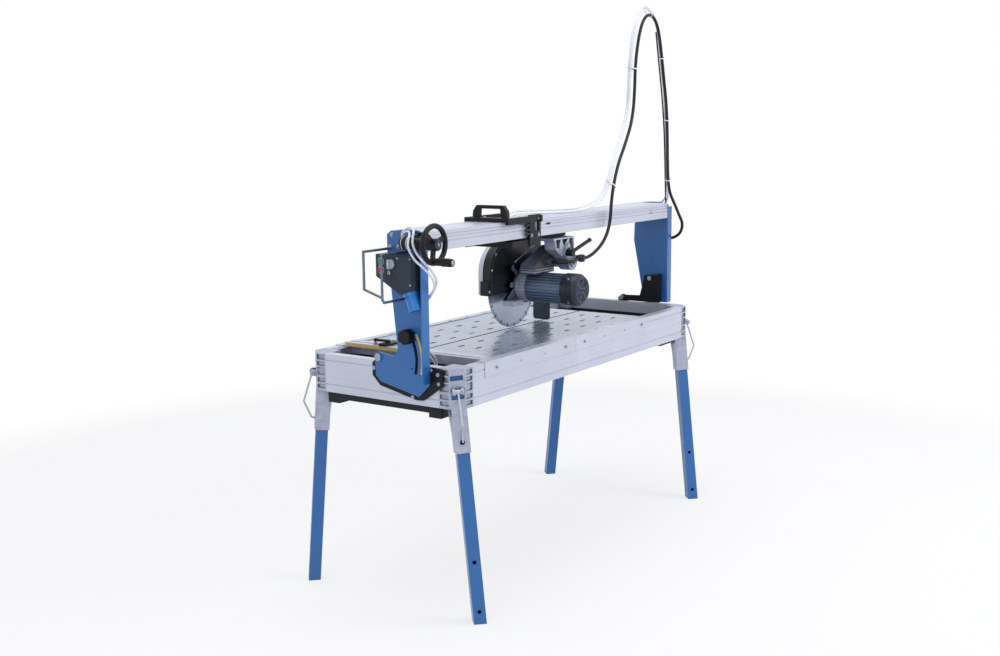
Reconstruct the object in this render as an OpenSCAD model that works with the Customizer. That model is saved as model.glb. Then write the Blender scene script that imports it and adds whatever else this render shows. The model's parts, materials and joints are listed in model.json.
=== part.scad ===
// Bridge tile cutter: a water-cooled stone and tile saw on four removable legs.
// X runs along the cut, Y across the machine (the operator stands at -Y), Z is up.

/* [Frame] */
// Length of the frame over the end beams
frame_len = 1600; // [1400:10:2000]
// Width of the frame over the side beams
frame_wid = 608; // [560:2:700]
// Height of the table and of the top of the frame above the floor
table_z = 797; // [740:1:860]
// Height of the extruded frame beams
beam_h = 125; // [110:1:150]
// Thickness of the extruded frame beams
beam_t = 30; // [26:1:34]
// Length of a corner casting along each side
corner_len = 75; // [75:1:90]
// Chamfer across the outer corner of a casting
corner_cut = 34; // [26:1:36]

/* [Legs] */
// Side of the square leg tube
leg_side = 40; // [34:1:42]
// Wall of the leg tube
leg_wall = 2.5; // [2:0.5:4]
// Distance from the leg axis to the end face of the frame
leg_set = 36; // [34:1:40]
// Outward lean of each leg in degrees
leg_lean = 6; // [4:0.5:7]
// Distance from the leg axis to the side face of the frame, at mid beam
leg_inset = 37; // [36:1:40]
// Wall of the cast sleeve round the leg
sleeve_wall = 4; // [3:0.5:5]
// Length of the sleeve below the beam
sleeve_drop = 137; // [110:1:160]
// Diameter of the bent wire of a leg bail
bail_wire = 6; // [5:0.5:7]
// Hole in the sleeve for the bail pin
bail_hole_d = 16; // [12:1:18]

/* [Table] */
// Where the table plates start, along the frame
table_x0 = -562; // [-620:1:-520]
// Where the table plates end, along the frame
table_x1 = 430; // [400:1:560]
// Thickness of a table plate
plate_t = 3; // [2:0.5:4]
// Width of the blade slot between the plates
blade_slot = 10; // [8:1:14]
// Length of a drain slot
drain_len = 35; // [20:1:50]
// Width of a drain slot
drain_wid = 12; // [8:1:16]
// Spacing of the drain slots along the table
drain_pitch = 113.5; // [90:0.5:130]
// Spacing of the rows of drain slots
row_pitch = 68.5; // [50:0.5:75]
// Height of the water tray walls
tray_h = 80; // [50:1:80]

/* [Bridge] */
// Width of the bridge rail
rail_w = 140; // [130:1:150]
// Height of the bridge rail
rail_h = 60; // [60:1:80]
// Height of the underside of the rail above the floor
rail_z = 1148; // [1120:1:1250]
// Near face of the rail, measured from the blade plane
rail_y = 200; // [195:1:212]
// Thickness of the column plates
column_t = 5; // [4:0.5:6]
// Depth of the folded edge of a column
column_fold = 30; // [20:1:36]
// Height of the tilt axis above the table
tilt_rise = 14; // [12:0.5:16]
// Distance from the tilt axis to the blade plane
tilt_y = 6; // [0:1:10]
// Radius of the tilt pins
tilt_pin_r = 7.95; // [5:0.05:8]
// Radius of the tilt clamping slot
tilt_slot_r = 149; // [140:1:155]
// Furthest tilt of the bridge in degrees
tilt_max = 45; // [30:1:46]
// Radius of the belt pulleys
pulley_r = 19; // [16:0.5:20]
// Width of the toothed belt
belt_w = 15; // [10:1:16]

/* [Handwheel] */
// Outer radius of the handwheel
wheel_r = 62.5; // [50:0.5:65]
// Radius of the handwheel rim section
rim_r = 8; // [6:0.5:9]
// Length of the crank grip
grip_len = 60; // [50:1:90]
// Radius of the crank grip
grip_r = 12; // [9:0.5:14]

/* [Head] */
// Diameter of the saw blade
blade_d = 304; // [250:2:306]
// Thickness of the saw blade
blade_t = 2.4; // [1.8:0.1:3.2]
// Height of the blade axis above the table
axis_rise = 156; // [155:1:160]
// Blade axis along the frame, with the carriage at rest
head_x = -50; // [-80:1:-30]
// Radius of the motor body
motor_r = 54; // [48:1:58]
// Length of the motor body behind its end shield
motor_len = 146; // [120:1:150]
// Length of the fan cover
fan_len = 64; // [50:1:70]
// Distance from the blade axis to either end of the guard
guard_reach = 183; // [176:1:190]
// Height of the top of the guard above the table
guard_rise = 320; // [312:1:324]
// Radius of the guard's upper corners
guard_round = 107; // [90:1:115]
// Width of the near half of the guard
guard_near_w = 32; // [26:1:34]
// Width of the far half of the guard
guard_far_w = 18; // [16:0.5:24]
// Wall of the blade guard
guard_wall = 3; // [2:0.5:4]
// Height of the lower edge of the guard above the table
guard_gap = 140; // [130:1:150]

/* [Leads] */
// Diameter of the motor cable
cable_d = 12; // [8:1:13]
// Diameter of a water hose
hose_d = 7; // [5:0.5:8]

/* [Hidden] */
$fn = 48;

blue = [0.10, 0.42, 0.70];
black = [0.10, 0.10, 0.12];
alloy = [0.78, 0.79, 0.83];
zinc = [0.62, 0.68, 0.73];
bright = [0.85, 0.85, 0.88];

gap = 0.3;          // running gap between faces of different bodies
fit = 0.05;         // radial clearance of a shaft in its bore
half_len = frame_len / 2;
half_wid = frame_wid / 2;
beam_z = table_z - beam_h;
skin = 4;           // wall of the extrusions
groove_d = 2;       // depth of a groove in an extrusion
groove_h = 4;       // height of a groove in an extrusion
ledge = 12;         // inner ledge of a side beam, under the table plate
plate_z = table_z - plate_t;

// ---------- helpers ----------
// extrude a shape drawn in (y, z) along X, from x0 to x0 + t
module along_x(x0, t) {
    translate([x0, 0, 0]) rotate([90, 0, 90]) linear_extrude(t) children();
}

// extrude a shape drawn in (x, z) along Y, from y0 to y0 + t
module along_y(y0, t) {
    translate([0, y0 + t, 0]) rotate([90, 0, 0]) linear_extrude(t) children();
}

module block(p0, p1) {
    translate(p0) cube(p1 - p0);
}

module rod_x(x0, x1, y, z, r) {
    translate([x0, y, z]) rotate([0, 90, 0]) cylinder(h = x1 - x0, r = r);
}

module rod_y(y0, y1, x, z, r) {
    translate([x, y0, z]) rotate([-90, 0, 0]) cylinder(h = y1 - y0, r = r);
}

// straight round bar from a to b
module bar(a, b, r) {
    d = b - a;
    turn = atan2(d[1], d[0]);
    lean = atan2(norm([d[0], d[1]]), d[2]);
    translate(a) rotate([0, lean, turn]) cylinder(h = norm(d), r = r, $fn = 24);
}

// round bar bent through a list of points
module bent_bar(pts, r) {
    for (i = [0 : len(pts) - 2]) bar(pts[i], pts[i + 1], r);
    for (i = [1 : len(pts) - 2]) translate(pts[i]) sphere(r = r + 0.4, $fn = 24);
}

module round_rect(w, h, r) {
    square([w - 2 * r, h], center = true);
    square([w, h - 2 * r], center = true);
    for (sx = [-1, 1], sy = [-1, 1]) translate([sx * (w / 2 - r), sy * (h / 2 - r)]) circle(r);
}

// obround of full length l and width w, along the first axis
module obround(l, w) {
    square([l - w, w], center = true);
    for (s = [-1, 1]) translate([s * (l - w) / 2, 0]) circle(w / 2);
}

// arc slot of radius r and width w, from angle a0 to a1
module arc_slot(r, w, a0, a1) {
    reach = 2 * r;
    intersection() {
        difference() {
            circle(r + w / 2);
            circle(r - w / 2);
        }
        polygon([[0, 0], reach * [cos(a0), sin(a0)],
            reach * [cos((a0 + a1) / 2), sin((a0 + a1) / 2)], reach * [cos(a1), sin(a1)]]);
    }
    for (a = [a0, a1]) translate(r * [cos(a), sin(a)]) circle(w / 2);
}

// tube along a route: one ring of sides facing the route at each point
function unit(v) = v / norm(v);
function lerp_points(p, i, n) = [for (k = [0 : n - 1]) curve_at(p, i, k / n)];
function pick(p, i) = p[max(0, min(len(p) - 1, i))];
function curve_at(p, i, t) = 0.5 * ((2 * pick(p, i)) + (pick(p, i + 1) - pick(p, i - 1)) * t
    + (2 * pick(p, i - 1) - 5 * pick(p, i) + 4 * pick(p, i + 1) - pick(p, i + 2)) * t * t
    + (3 * pick(p, i) - pick(p, i - 1) - 3 * pick(p, i + 1) + pick(p, i + 2)) * t * t * t);
function smooth(p, n) = concat([for (i = [0 : len(p) - 2]) for (q = lerp_points(p, i, n)) q],
    [p[len(p) - 1]]);
function heading(p, i) = unit(pick(p, i + 1) - pick(p, i - 1));
// a side direction carried along the route, so that the tube doesn't twist
function carried(n, h) = unit(n - (n * h) * h);
function sides_of(p, n0, i = 0) = i >= len(p) ? []
    : let(n = carried(n0, heading(p, i))) concat([n], sides_of(p, n, i + 1));

module tube(route, d, n0, steps = 2, sides = 8) {
    p = smooth(route, steps);
    side = sides_of(p, n0);
    rings = [for (i = [0 : len(p) - 1]) let(u = side[i], v = cross(heading(p, i), u))
        for (k = [0 : sides - 1])
            p[i] + d / 2 * (cos(k * 360 / sides) * u + sin(k * 360 / sides) * v)];
    last = (len(p) - 1) * sides;
    walls = [for (i = [0 : len(p) - 2]) for (k = [0 : sides - 1])
        let(a = i * sides + k, b = i * sides + (k + 1) % sides)
        each [[a, b + sides, b], [a, a + sides, b + sides]]];
    ends = [[for (k = [0 : sides - 1]) k], [for (k = [sides - 1 : -1 : 0]) last + k]];
    polyhedron(points = rings, faces = concat(walls, ends), convexity = 10);
}

// ---------- frame ----------
// beam section: first axis inward from the outer face, second axis up
groove_top = beam_h - 18;
groove_low = beam_h - 97;

module beam_section() {
    web = (beam_h - 3 * skin) / 2;
    difference() {
        square([beam_t, beam_h]);
        translate([skin, skin]) square([beam_t - 2 * skin, web]);
        translate([skin, 2 * skin + web]) square([beam_t - 2 * skin, web]);
        for (v = [groove_low, groove_top])
            translate([-1, v - groove_h]) square([groove_d + 1, groove_h]);
    }
}

module side_section() {
    beam_section();
    translate([beam_t, beam_h - plate_t - skin]) square([ledge, skin]);
}

module frame_beams() {
    run = frame_len - 2 * corner_len;
    span = frame_wid - 2 * corner_len;
    color(alloy) {
        for (s = [-1, 1]) scale([1, s, 1])
            translate([0, -half_wid, beam_z]) along_x(-run / 2, run) side_section();
        for (s = [-1, 1]) scale([s, 1, 1])
            translate([-half_len, 0, beam_z]) along_y(-span / 2, span) beam_section();
    }
}

// ---------- legs and corner castings ----------
leg_tan = tan(leg_lean);
leg_x = half_len - leg_set;
spare = half_len - 800;
leg_y = half_wid - leg_inset + (table_z - beam_h / 2) * leg_tan;
leg_top = (table_z - 12) / cos(leg_lean);
sleeve_side = leg_side + 2 * sleeve_wall;
bore_side = leg_side + 2 * gap;
sleeve_low = (beam_z - sleeve_drop) / cos(leg_lean);
bail_x = sleeve_side / 2 + 12;
bail_z = (beam_z + 53) / cos(leg_lean);
bail_pin_z = sleeve_low + 34;
bail_pin_r = 3;
knuckle_r = 12;
knuckle_w = 35;
eye_w = 17;
window_h = 15;

// local frame of a leg: Z up along the leg, X outward across the corner
module leg_place(sx, sy) {
    translate([sx * leg_x, sy * leg_y, 0]) rotate([sy * leg_lean, 0, 0])
        rotate([0, 0, atan2(sy, sx)]) children();
}

module corner_block() {
    linear_extrude(beam_h) polygon([[0, corner_cut], [corner_cut, 0], [corner_len, 0],
        [corner_len, corner_len], [0, corner_len]]);
}

// cast pockets on one face: first axis along the face, second axis up
module pockets() {
    low = corner_cut + 4;
    wide = corner_len - low - 4;
    for (v = [[9, 14], [29, 15], [53, 25], [83, 15], [104, 16]])
        translate([low + wide / 2, v[0] + v[1] / 2]) round_rect(wide, v[1], 3);
}

module corner_casting(sx, sy) {
    pocket = 5;
    rib = 8;
    difference() {
        union() {
            difference() {
                translate([sx * half_len, sy * half_wid, beam_z]) scale([-sx, -sy, 1]) {
                    corner_block();
                }
                translate([sx * half_len, sy * half_wid, beam_z]) scale([-sx, -sy, 1]) {
                    translate([pocket, 0, 0]) rotate([90, 0, 90]) mirror([0, 0, 1])
                        linear_extrude(pocket + 1) pockets();
                    translate([0, pocket, 0]) rotate([90, 0, 0])
                        linear_extrude(pocket + 1) pockets();
                }
            }
            leg_place(sx, sy) translate([0, 0, sleeve_low])
                linear_extrude(sleeve_drop + beam_h * 0.6) square(sleeve_side, center = true);
            // ribs that carry the sleeve from the underside of the casting
            translate([sx * leg_x, 0, 0]) scale([1, sy, 1]) along_x(-rib / 2, rib)
                polygon([[half_wid - corner_len + 6, beam_z], [half_wid - leg_inset + 8, beam_z],
                    [leg_y - sleeve_low * sin(leg_lean) - sleeve_side * 0.6, sleeve_low + 12]]);
            leg_place(sx, sy) difference() {
                union() {
                    translate([bail_x, -knuckle_w / 2, bail_z]) rotate([-90, 0, 0])
                        cylinder(h = knuckle_w, r = knuckle_r);
                    translate([bore_side / 2, -knuckle_w / 2, bail_z - knuckle_r])
                        cube([bail_x - bore_side / 2, knuckle_w, 2 * knuckle_r]);
                }
                translate([sleeve_side / 2 + 1, -eye_w / 2 - gap, bail_z - 2 * knuckle_r])
                    cube([3 * knuckle_r, eye_w + 2 * gap, 4 * knuckle_r]);
            }
        }
        leg_place(sx, sy) {
            translate([0, 0, sleeve_low - 1]) linear_extrude(leg_top + gap - sleeve_low + 1)
                square(bore_side, center = true);
            translate([bail_x, -knuckle_w, bail_z]) rotate([-90, 0, 0])
                cylinder(h = 2 * knuckle_w, r = bail_pin_r);
            for (v = [26, 84])
                translate([bore_side / 2 - 1, -leg_side / 2, bail_z - 53 + beam_h - v - window_h + 3])
                    cube([2 * corner_cut, leg_side, window_h]);
            translate([0, 0, bail_pin_z]) rotate([0, 90, 0])
                cylinder(h = sleeve_side, r = bail_hole_d / 2);
        }
    }
}

module corner_castings() {
    color(alloy) for (sx = [-1, 1], sy = [-1, 1]) corner_casting(sx, sy);
}

// turn: which face of the tube carries the two lower pin holes
module leg(sx, sy, turn) {
    hole_r = 6.5;
    shoe = 3;
    floor_cut = 2 * leg_side;
    inner = leg_side - 2 * leg_wall;
    color(blue) difference() {
        leg_place(sx, sy) difference() {
            translate([0, 0, -10]) linear_extrude(leg_top + 10) difference() {
                square(leg_side, center = true);
                square(inner, center = true);
            }
            for (z = [38, 195]) rotate([0, 0, turn]) translate([0, 0, z]) rotate([0, 90, 0])
                cylinder(h = leg_side, r = hole_r);
            translate([0, 0, bail_pin_z]) rotate([0, 90, 0]) cylinder(h = leg_side, r = hole_r);
        }
        translate([sx * leg_x, sy * leg_y, shoe - floor_cut])
            cylinder(h = floor_cut, r = floor_cut);
    }
    color(black) {
        difference() {
            leg_place(sx, sy) translate([0, 0, -10]) linear_extrude(10 + 5 * shoe)
                square(leg_side, center = true);
            translate([sx * leg_x, sy * leg_y, -floor_cut])
                cylinder(h = floor_cut, r = floor_cut);
            translate([sx * leg_x, sy * leg_y, shoe - fit])
                cylinder(h = floor_cut, r = floor_cut);
        }
    }
}

// the bail hangs on its knuckle and its pin sits in the sleeve hole
module bail(sx, sy) {
    elbow = [bail_x + 27, 0, bail_z - 100];
    near_pin = [sleeve_side / 2 + 12, 0, bail_pin_z + 4];
    color(bright) leg_place(sx, sy) {
        difference() {
            translate([bail_x, -eye_w / 2, bail_z]) rotate([-90, 0, 0])
                cylinder(h = eye_w, r = knuckle_r - 4);
            translate([bail_x, -eye_w, bail_z]) rotate([-90, 0, 0])
                cylinder(h = 2 * eye_w, r = bail_pin_r + fit);
        }
        bent_bar([[bail_x + 5, 0, bail_z - 4], elbow, near_pin,
            [leg_side / 2 + 1.5, 0, bail_pin_z]], bail_wire / 2);
    }
}

// ---------- water tray ----------
tray_gap = 2;
tray_t = 3;
tray_x = half_len - beam_t - tray_gap;
tray_y = half_wid - beam_t - tray_gap;
notch = corner_len - beam_t;
rail_low = 22;
foot_h = 36;

module tray_outline(inset) {
    difference() {
        square([2 * (tray_x - inset), 2 * (tray_y - inset)], center = true);
        for (sx = [-1, 1], sy = [-1, 1])
            translate([sx * (tray_x - inset), sy * (tray_y - inset)])
                square(2 * notch, center = true);
    }
}

pump_x = -half_len + 160;
pump_y = -106;
pump_r = 30;
pump_h = 66;
drain_x = tray_x - 62;
drain_y = 95;

module water_tray() {
    color(black) difference() {
        translate([0, 0, beam_z]) linear_extrude(tray_h) tray_outline(0);
        translate([0, 0, beam_z + tray_t]) linear_extrude(tray_h) tray_outline(tray_t);
        translate([-drain_x, -drain_y, beam_z - 1]) cylinder(h = 9, r = 12);
    }
}

module drain_plug() {
    color(black) translate([-drain_x, -drain_y, beam_z - 16]) {
        cylinder(h = 16 - gap, r = 16);
        cylinder(h = 16 + tray_t + 4, r = 12 - fit);
    }
}

module tray_rails() {
    foot_l = 100;
    foot_w = 47;
    wide = 40;
    rail_x = half_len - 10;
    foot_y = half_wid - corner_len - foot_w / 2;
    color(black) for (s = [-1, 1]) scale([s, 1, 1]) {
        block([tray_x - wide, -foot_y, beam_z - rail_low], [rail_x, foot_y, beam_z]);
        for (t = [-1, 1]) translate([rail_x - foot_l / 2, t * foot_y, beam_z - foot_h / 2])
            cube([foot_l, foot_w, foot_h], center = true);
    }
}

module water_pump() {
    color([0.15, 0.17, 0.2]) translate([pump_x, pump_y, beam_z + tray_t]) {
        cylinder(h = pump_h - 16, r = pump_r);
        cylinder(h = pump_h - 8, r = 18);
        // the two hose spigots
        translate([-8, 6, 0]) cylinder(h = pump_h, r = 4);
        translate([2, 6, 0]) cylinder(h = pump_h + 10, r = 4);
    }
}

// ---------- table ----------
slot_half = blade_slot / 2;
plate_y = half_wid - beam_t - 6;
bar_h = 40;
bar_notch = 28;
drains_x0 = table_x0 + 107;
drain_cols = floor((table_x1 - drains_x0 - drain_len / 2) / drain_pitch) + 1;
bar_xs = [table_x0 + 22, table_x0 + 335, table_x0 + 662, table_x1 - 22];

module table_plate(first_row, rows) {
    linear_extrude(plate_t) difference() {
        translate([table_x0, slot_half]) square([table_x1 - table_x0, plate_y - slot_half]);
        for (i = [0 : drain_cols - 1], j = [0 : rows - 1])
            translate([drains_x0 + i * drain_pitch, first_row + j * row_pitch])
                obround(drain_len, drain_wid);
    }
    block([table_x0, slot_half, 20 - 40], [table_x1, slot_half + plate_t, 0]);
}

module table_plates() {
    color(zinc) translate([0, 0, plate_z]) {
        scale([1, -1, 1]) table_plate(66, 3);
        table_plate(53, 3);
    }
}

module cross_bar(x) {
    y = half_wid - beam_t;
    difference() {
        block([x - 15, -y, plate_z - bar_h], [x + 15, y, plate_z]);
        block([x - 11, -y - 1, plate_z - bar_h + 4], [x + 11, y + 1, plate_z - 4]);
        block([x - 16, -slot_half - plate_t - gap - 2, plate_z - bar_notch],
            [x + 16, slot_half + plate_t + gap + 2, plate_z + 1]);
        for (s = [-1, 1]) block([x - 16, s > 0 ? y - ledge - gap : -y - 1, plate_z - skin - gap],
            [x + 16, s > 0 ? y + 1 : -y + ledge + gap, plate_z + 1]);
    }
}

// the stepped end profile is level with the table
module end_profile() {
    y = half_wid - beam_t;
    wide = 58;
    difference() {
        block([table_x0 - gap - wide, -y, table_z - 30], [table_x0 - gap, y, table_z]);
        block([table_x0 - gap - wide + 4, -y - 1, table_z - 26],
            [table_x0 - gap - 4, y + 1, table_z - 4]);
        block([table_x0 - wide, -y + 30, table_z - 2], [table_x0 - wide / 2, y - 30, table_z + 1]);
        for (s = [-1, 1]) block([table_x0 - wide - 1, s > 0 ? y - ledge - gap : -y - 1,
            plate_z - skin - gap], [table_x0 + 1, s > 0 ? y + 1 : -y + ledge + gap, table_z + 1]);
    }
}

module table_bars() {
    color(alloy) {
        for (x = bar_xs) cross_bar(x);
        end_profile();
    }
}

// ---------- side angles, fasteners ----------
angle_t = 2.5;
angle_h = 47;
angle_in = 30;
angle_ends = [[-663, -115.5], [-114.5, 409]];
angle_bolts = [-600, -182, -53, 376];
angle_holes = [-460, -314, 90, 241];
angle_slots = [-392, -280, -46, 63, 183, 296];
angle_bolt_z = table_z - 22;
bolt_r = 4;

module side_angles() {
    color(alloy) for (s = [-1, 1]) scale([1, s, 1]) for (e = angle_ends) difference() {
        union() {
            block([e[0], -half_wid - angle_t, table_z - angle_h], [e[1], -half_wid, table_z]);
            block([e[0], -half_wid - angle_t, table_z], [e[1], -half_wid + angle_in,
                table_z + angle_t]);
        }
        for (x = angle_holes) rod_y(-half_wid - 5, -half_wid + 1, x, angle_bolt_z - 3, bolt_r);
        for (x = angle_bolts) rod_y(-half_wid - 5, -half_wid + 1, x, angle_bolt_z, bolt_r + fit);
        for (x = angle_slots) translate([x, -half_wid + angle_in - 9, table_z - 1])
            linear_extrude(6) obround(30, 8);
    }
}

tilt_z = table_z + tilt_rise;
support_t = 6;
support_bolts = [[17, table_z - 23], [-135, table_z - 100], [-233, table_z - 20]];
bolt_head_r = 6;

module frame_bolts() {
    color(bright) {
        for (s = [-1, 1]) scale([1, s, 1]) for (x = angle_bolts) {
            rod_y(-half_wid - angle_t - 4, -half_wid - angle_t, x, angle_bolt_z, bolt_head_r - 1);
            rod_y(-half_wid - angle_t, -half_wid - fit, x, angle_bolt_z, bolt_r);
        }
        for (b = support_bolts) {
            rod_x(-half_len - support_t - 5, -half_len - support_t, b[0], b[1], bolt_head_r);
            rod_x(-half_len - support_t, -half_len - fit, b[0], b[1], bolt_r);
        }
        // hinge pins of the leg bails
        for (sx = [-1, 1], sy = [-1, 1]) leg_place(sx, sy)
            translate([bail_x, -knuckle_w / 2 - 3, bail_z]) rotate([-90, 0, 0])
                cylinder(h = knuckle_w + 6, r = bail_pin_r - 0.01);
    }
}

// ---------- tilt supports on the frame ends ----------
stud_a = 148.5;
stud_y = -tilt_y + tilt_slot_r * cos(stud_a);
stud_z = tilt_z + tilt_slot_r * sin(stud_a);
stud_r = 5;
lug_x = half_len - 16;
lug_t = 10;

module pivot_supports() {
    color(black) along_x(-half_len - support_t, support_t) difference() {
        union() {
            polygon([[26, table_z - 8], [26, table_z - 47], [-4, table_z - 77],
                [-150, table_z - 109], [-175, table_z - 107], [-246, table_z - 57],
                [-250, table_z - 8], [-215, table_z], [stud_y - 24, table_z],
                [stud_y - 18, stud_z], [stud_y + 18, stud_z], [-70, table_z + 10],
                [8, table_z + 10]]);
            translate([-tilt_y, tilt_z]) circle(14);
            translate([stud_y, stud_z]) circle(18);
        }
        translate([-tilt_y, tilt_z]) circle(tilt_pin_r + fit);
        translate([stud_y, stud_z]) circle(stud_r + fit);
        for (b = support_bolts) translate(b) circle(bolt_r + fit);
    }
    color(alloy) along_x(lug_x, lug_t) difference() {
        union() {
            translate([-tilt_y, tilt_z]) circle(13);
            translate([-tilt_y - 22, table_z]) square([44, tilt_rise]);
        }
        translate([-tilt_y, tilt_z]) circle(tilt_pin_r + fit);
        translate([-tilt_y - 60, table_z - 20]) square([120, 20]);
    }
}

// ---------- fence at the left end ----------
fence_x = table_x0 - 70;
fence_w = 50;
fence_h = 14;
fence_y0 = 20;
fence_y1 = half_wid - beam_t - 4;
fence_seat = table_z;
stop_y = 105;
stop_l = 34;

module fence_bar() {
    color(alloy) difference() {
        union() {
            block([fence_x - fence_w / 2, fence_y0, fence_seat],
                [fence_x + fence_w / 2, fence_y1, fence_seat + fence_h]);
            block([fence_x + fence_w / 2, fence_y0, fence_seat], [table_x0 - 4, fence_y1,
                fence_seat + 3]);
        }
        // T groove that guides the stop
        block([fence_x - 5, fence_y0 - 1, fence_seat + 6], [fence_x + 5, fence_y1 + 1,
            fence_seat + fence_h + 1]);
        block([fence_x - 10, fence_y0 - 1, fence_seat + 4], [fence_x + 10, fence_y1 + 1,
            fence_seat + 9]);
    }
}

module fence_stop() {
    top = fence_seat + fence_h;
    color(black) {
        block([fence_x - 4.5, stop_y - stop_l / 2, fence_seat + 8],
            [fence_x + 4.5, stop_y + stop_l / 2, top + gap]);
        block([fence_x - 9, stop_y - stop_l / 2, fence_seat + 5],
            [fence_x + 9, stop_y + stop_l / 2, fence_seat + 8]);
        difference() {
            block([fence_x - fence_w / 2 - 4, stop_y - stop_l / 2, top + gap],
                [fence_x + fence_w / 2 + 24, stop_y + stop_l / 2, top + 8]);
            translate([fence_x, stop_y, top + 2]) cylinder(h = 10, r = 4 + fit);
        }
        block([fence_x + fence_w / 2 + 20, stop_y - stop_l / 2, fence_seat + 4],
            [fence_x + fence_w / 2 + 24, stop_y + stop_l / 2, top + 1]);
    }
}

module fence_lever() {
    top = fence_seat + fence_h;
    color(black) {
        translate([fence_x, stop_y, top + 2 + gap]) cylinder(h = 8, r = 4);
        translate([fence_x, stop_y, top + 8 + gap]) cylinder(h = 9, r = 9);
        bar([fence_x, stop_y, top + 14], [fence_x - 10, stop_y + 44, top + 15], 4.5);
        translate([fence_x - 10, stop_y + 44, top + 15]) sphere(r = 6.5);
    }
}

// ---------- columns ----------
col_x = half_len + support_t + 0.5;
near_y = -rail_y - 2;
rail_top = rail_z + rail_h;
fold_t = 4;
pulley_z = rail_z + rail_h / 2;
belt_t = 2.5;
mid_y = -rail_y + rail_w / 2;
belt_y = -rail_y + 28;
port_y = mid_y + 10;
port_r = 4.2;

module column_top() {
    polygon([[mid_y + 80, rail_top - 12], [mid_y + 66, rail_top - 2], [mid_y + 20, rail_top + 4],
        [mid_y - 35, rail_top + 4], [near_y, rail_top - 6], [near_y, rail_z - 30],
        [mid_y + 80, rail_z - 30]]);
}

// the two hoses leave the rail through these holes
module ports(y, step) {
    for (v = [[0, 0], step]) translate([y, pulley_z + 3] + v) circle(port_r);
}

module column_left() {
    color(blue) {
        along_x(-col_x - column_t, column_t) difference() {
            union() {
                column_top();
                polygon([[mid_y + 80, rail_z - 30], [near_y, rail_z - 30],
                    [near_y, table_z - 56], [-161, table_z - 96], [-11, table_z - 63],
                    [8, table_z - 44], [10, tilt_z], [-tilt_y, tilt_z + 16], [-66, table_z + 22],
                    [-82, table_z + 48], [-58, rail_z - 80]]);
                translate([-tilt_y, tilt_z]) circle(16);
            }
            translate([-tilt_y, tilt_z]) circle(tilt_pin_r + fit);
            translate([-tilt_y, tilt_z])
                arc_slot(tilt_slot_r, 2 * stud_r + 2, stud_a - 0.5, stud_a + tilt_max + 0.5);
            translate([belt_y - belt_w / 2 - 4, pulley_z - pulley_r - belt_t - 3])
                square([belt_w + 8, 2 * (pulley_r + belt_t + 3)]);
            ports(port_y, [0, 10]);
            translate([-136, table_z - 11]) circle(3);
        }
        block([-col_x - column_t - column_fold, near_y, table_z - 50],
            [-col_x - column_t, near_y + fold_t, rail_top - 14]);
    }
}

col_rx = half_len;

module column_right() {
    color(blue) {
        along_x(col_rx, column_t) difference() {
            union() {
                column_top();
                polygon([[mid_y + 80, rail_z - 30], [near_y, rail_z - 30], [near_y, table_z + 3],
                    [-100, table_z + 3], [-85, table_z + 63], [-48, rail_z - 97]]);
            }
            ports(mid_y + 45, [9, 9]);
            translate([-134, table_z + 102]) circle(bolt_r + fit);
        }
        block([col_rx + column_t, near_y, table_z + 3],
            [col_rx + column_t + column_fold, near_y + fold_t, rail_top - 14]);
    }
}

arm_x = lug_x - 8;
arm_t = 4;

module bracket_right() {
    color(black) {
        along_x(arm_x, arm_t) difference() {
            union() {
                polygon([[-tilt_y, tilt_z - 11], [-177, table_z + 3], [-177, table_z + 121],
                    [-111, table_z + 113], [-96, table_z + 54], [-89, table_z + 28],
                    [-tilt_y, tilt_z + 11]]);
                translate([-tilt_y, tilt_z]) circle(11);
            }
            translate([-tilt_y, tilt_z]) circle(tilt_pin_r + fit);
            translate([-134, table_z + 102]) circle(bolt_r + fit);
        }
        block([arm_x + arm_t, -177, table_z + 3], [col_rx, -173, table_z + 121]);
        difference() {
            rod_x(arm_x + arm_t, col_rx, -134, table_z + 102, 11);
            rod_x(arm_x, col_rx + 1, -134, table_z + 102, bolt_r + fit);
        }
    }
}

module rail() {
    w = rail_w;
    slot = 34;
    color(alloy) along_x(-col_x, col_x + col_rx) translate([-rail_y, rail_z]) difference() {
        square([w, rail_h]);
        translate([skin, skin]) square([w - 2 * skin, rail_h - 2 * skin]);
        translate([belt_y + rail_y - slot / 2, -1]) square([slot, skin + 2]);
        for (v = [25, 37, 46]) translate([-1, v]) square([3, 3]);
        for (v = [25, 37, 46]) translate([w - 2, v]) square([3, 3]);
        for (u = [30, 110]) translate([u, rail_h - 2]) square([4, 3]);
    }
}

module tilt_pins() {
    color(bright) {
        rod_x(-col_x - column_t - 8, -col_x - column_t, -tilt_y, tilt_z, 12);
        rod_x(-col_x - column_t, -half_len - fit, -tilt_y, tilt_z, tilt_pin_r);
        rod_x(arm_x - 7, arm_x, -tilt_y, tilt_z, 10);
        rod_x(arm_x, lug_x + lug_t + 1, -tilt_y, tilt_z, tilt_pin_r);
        rod_x(arm_x - 5, arm_x, -134, table_z + 102, 9);
        rod_x(arm_x, col_rx + column_t, -134, table_z + 102, bolt_r);
        rod_x(col_rx + column_t, col_rx + column_t + 6, -134, table_z + 102, 8);
    }
}

module tilt_knob() {
    face = -col_x - column_t - gap;
    color(black) {
        rod_x(face, -half_len, stud_y, stud_z, stud_r);
        rod_x(face - 6, face, stud_y, stud_z, 14);
        difference() {
            rod_x(face - 34, face - 6, stud_y, stud_z, 23);
            for (a = [0 : 60 : 300]) translate([0, stud_y + 27 * cos(a), stud_z + 27 * sin(a)])
                rod_x(face - 40, face, 0, 0, 7);
        }
    }
}

// ---------- switch box and its guard ----------
box_x = -col_x - column_t;
box_d = 50;
panel_x = box_x - box_d;
button_r = 9;
start_at = [-66, 1118];
stop_at = [-66, 1093];
select_at = [-104, 1112];

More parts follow.
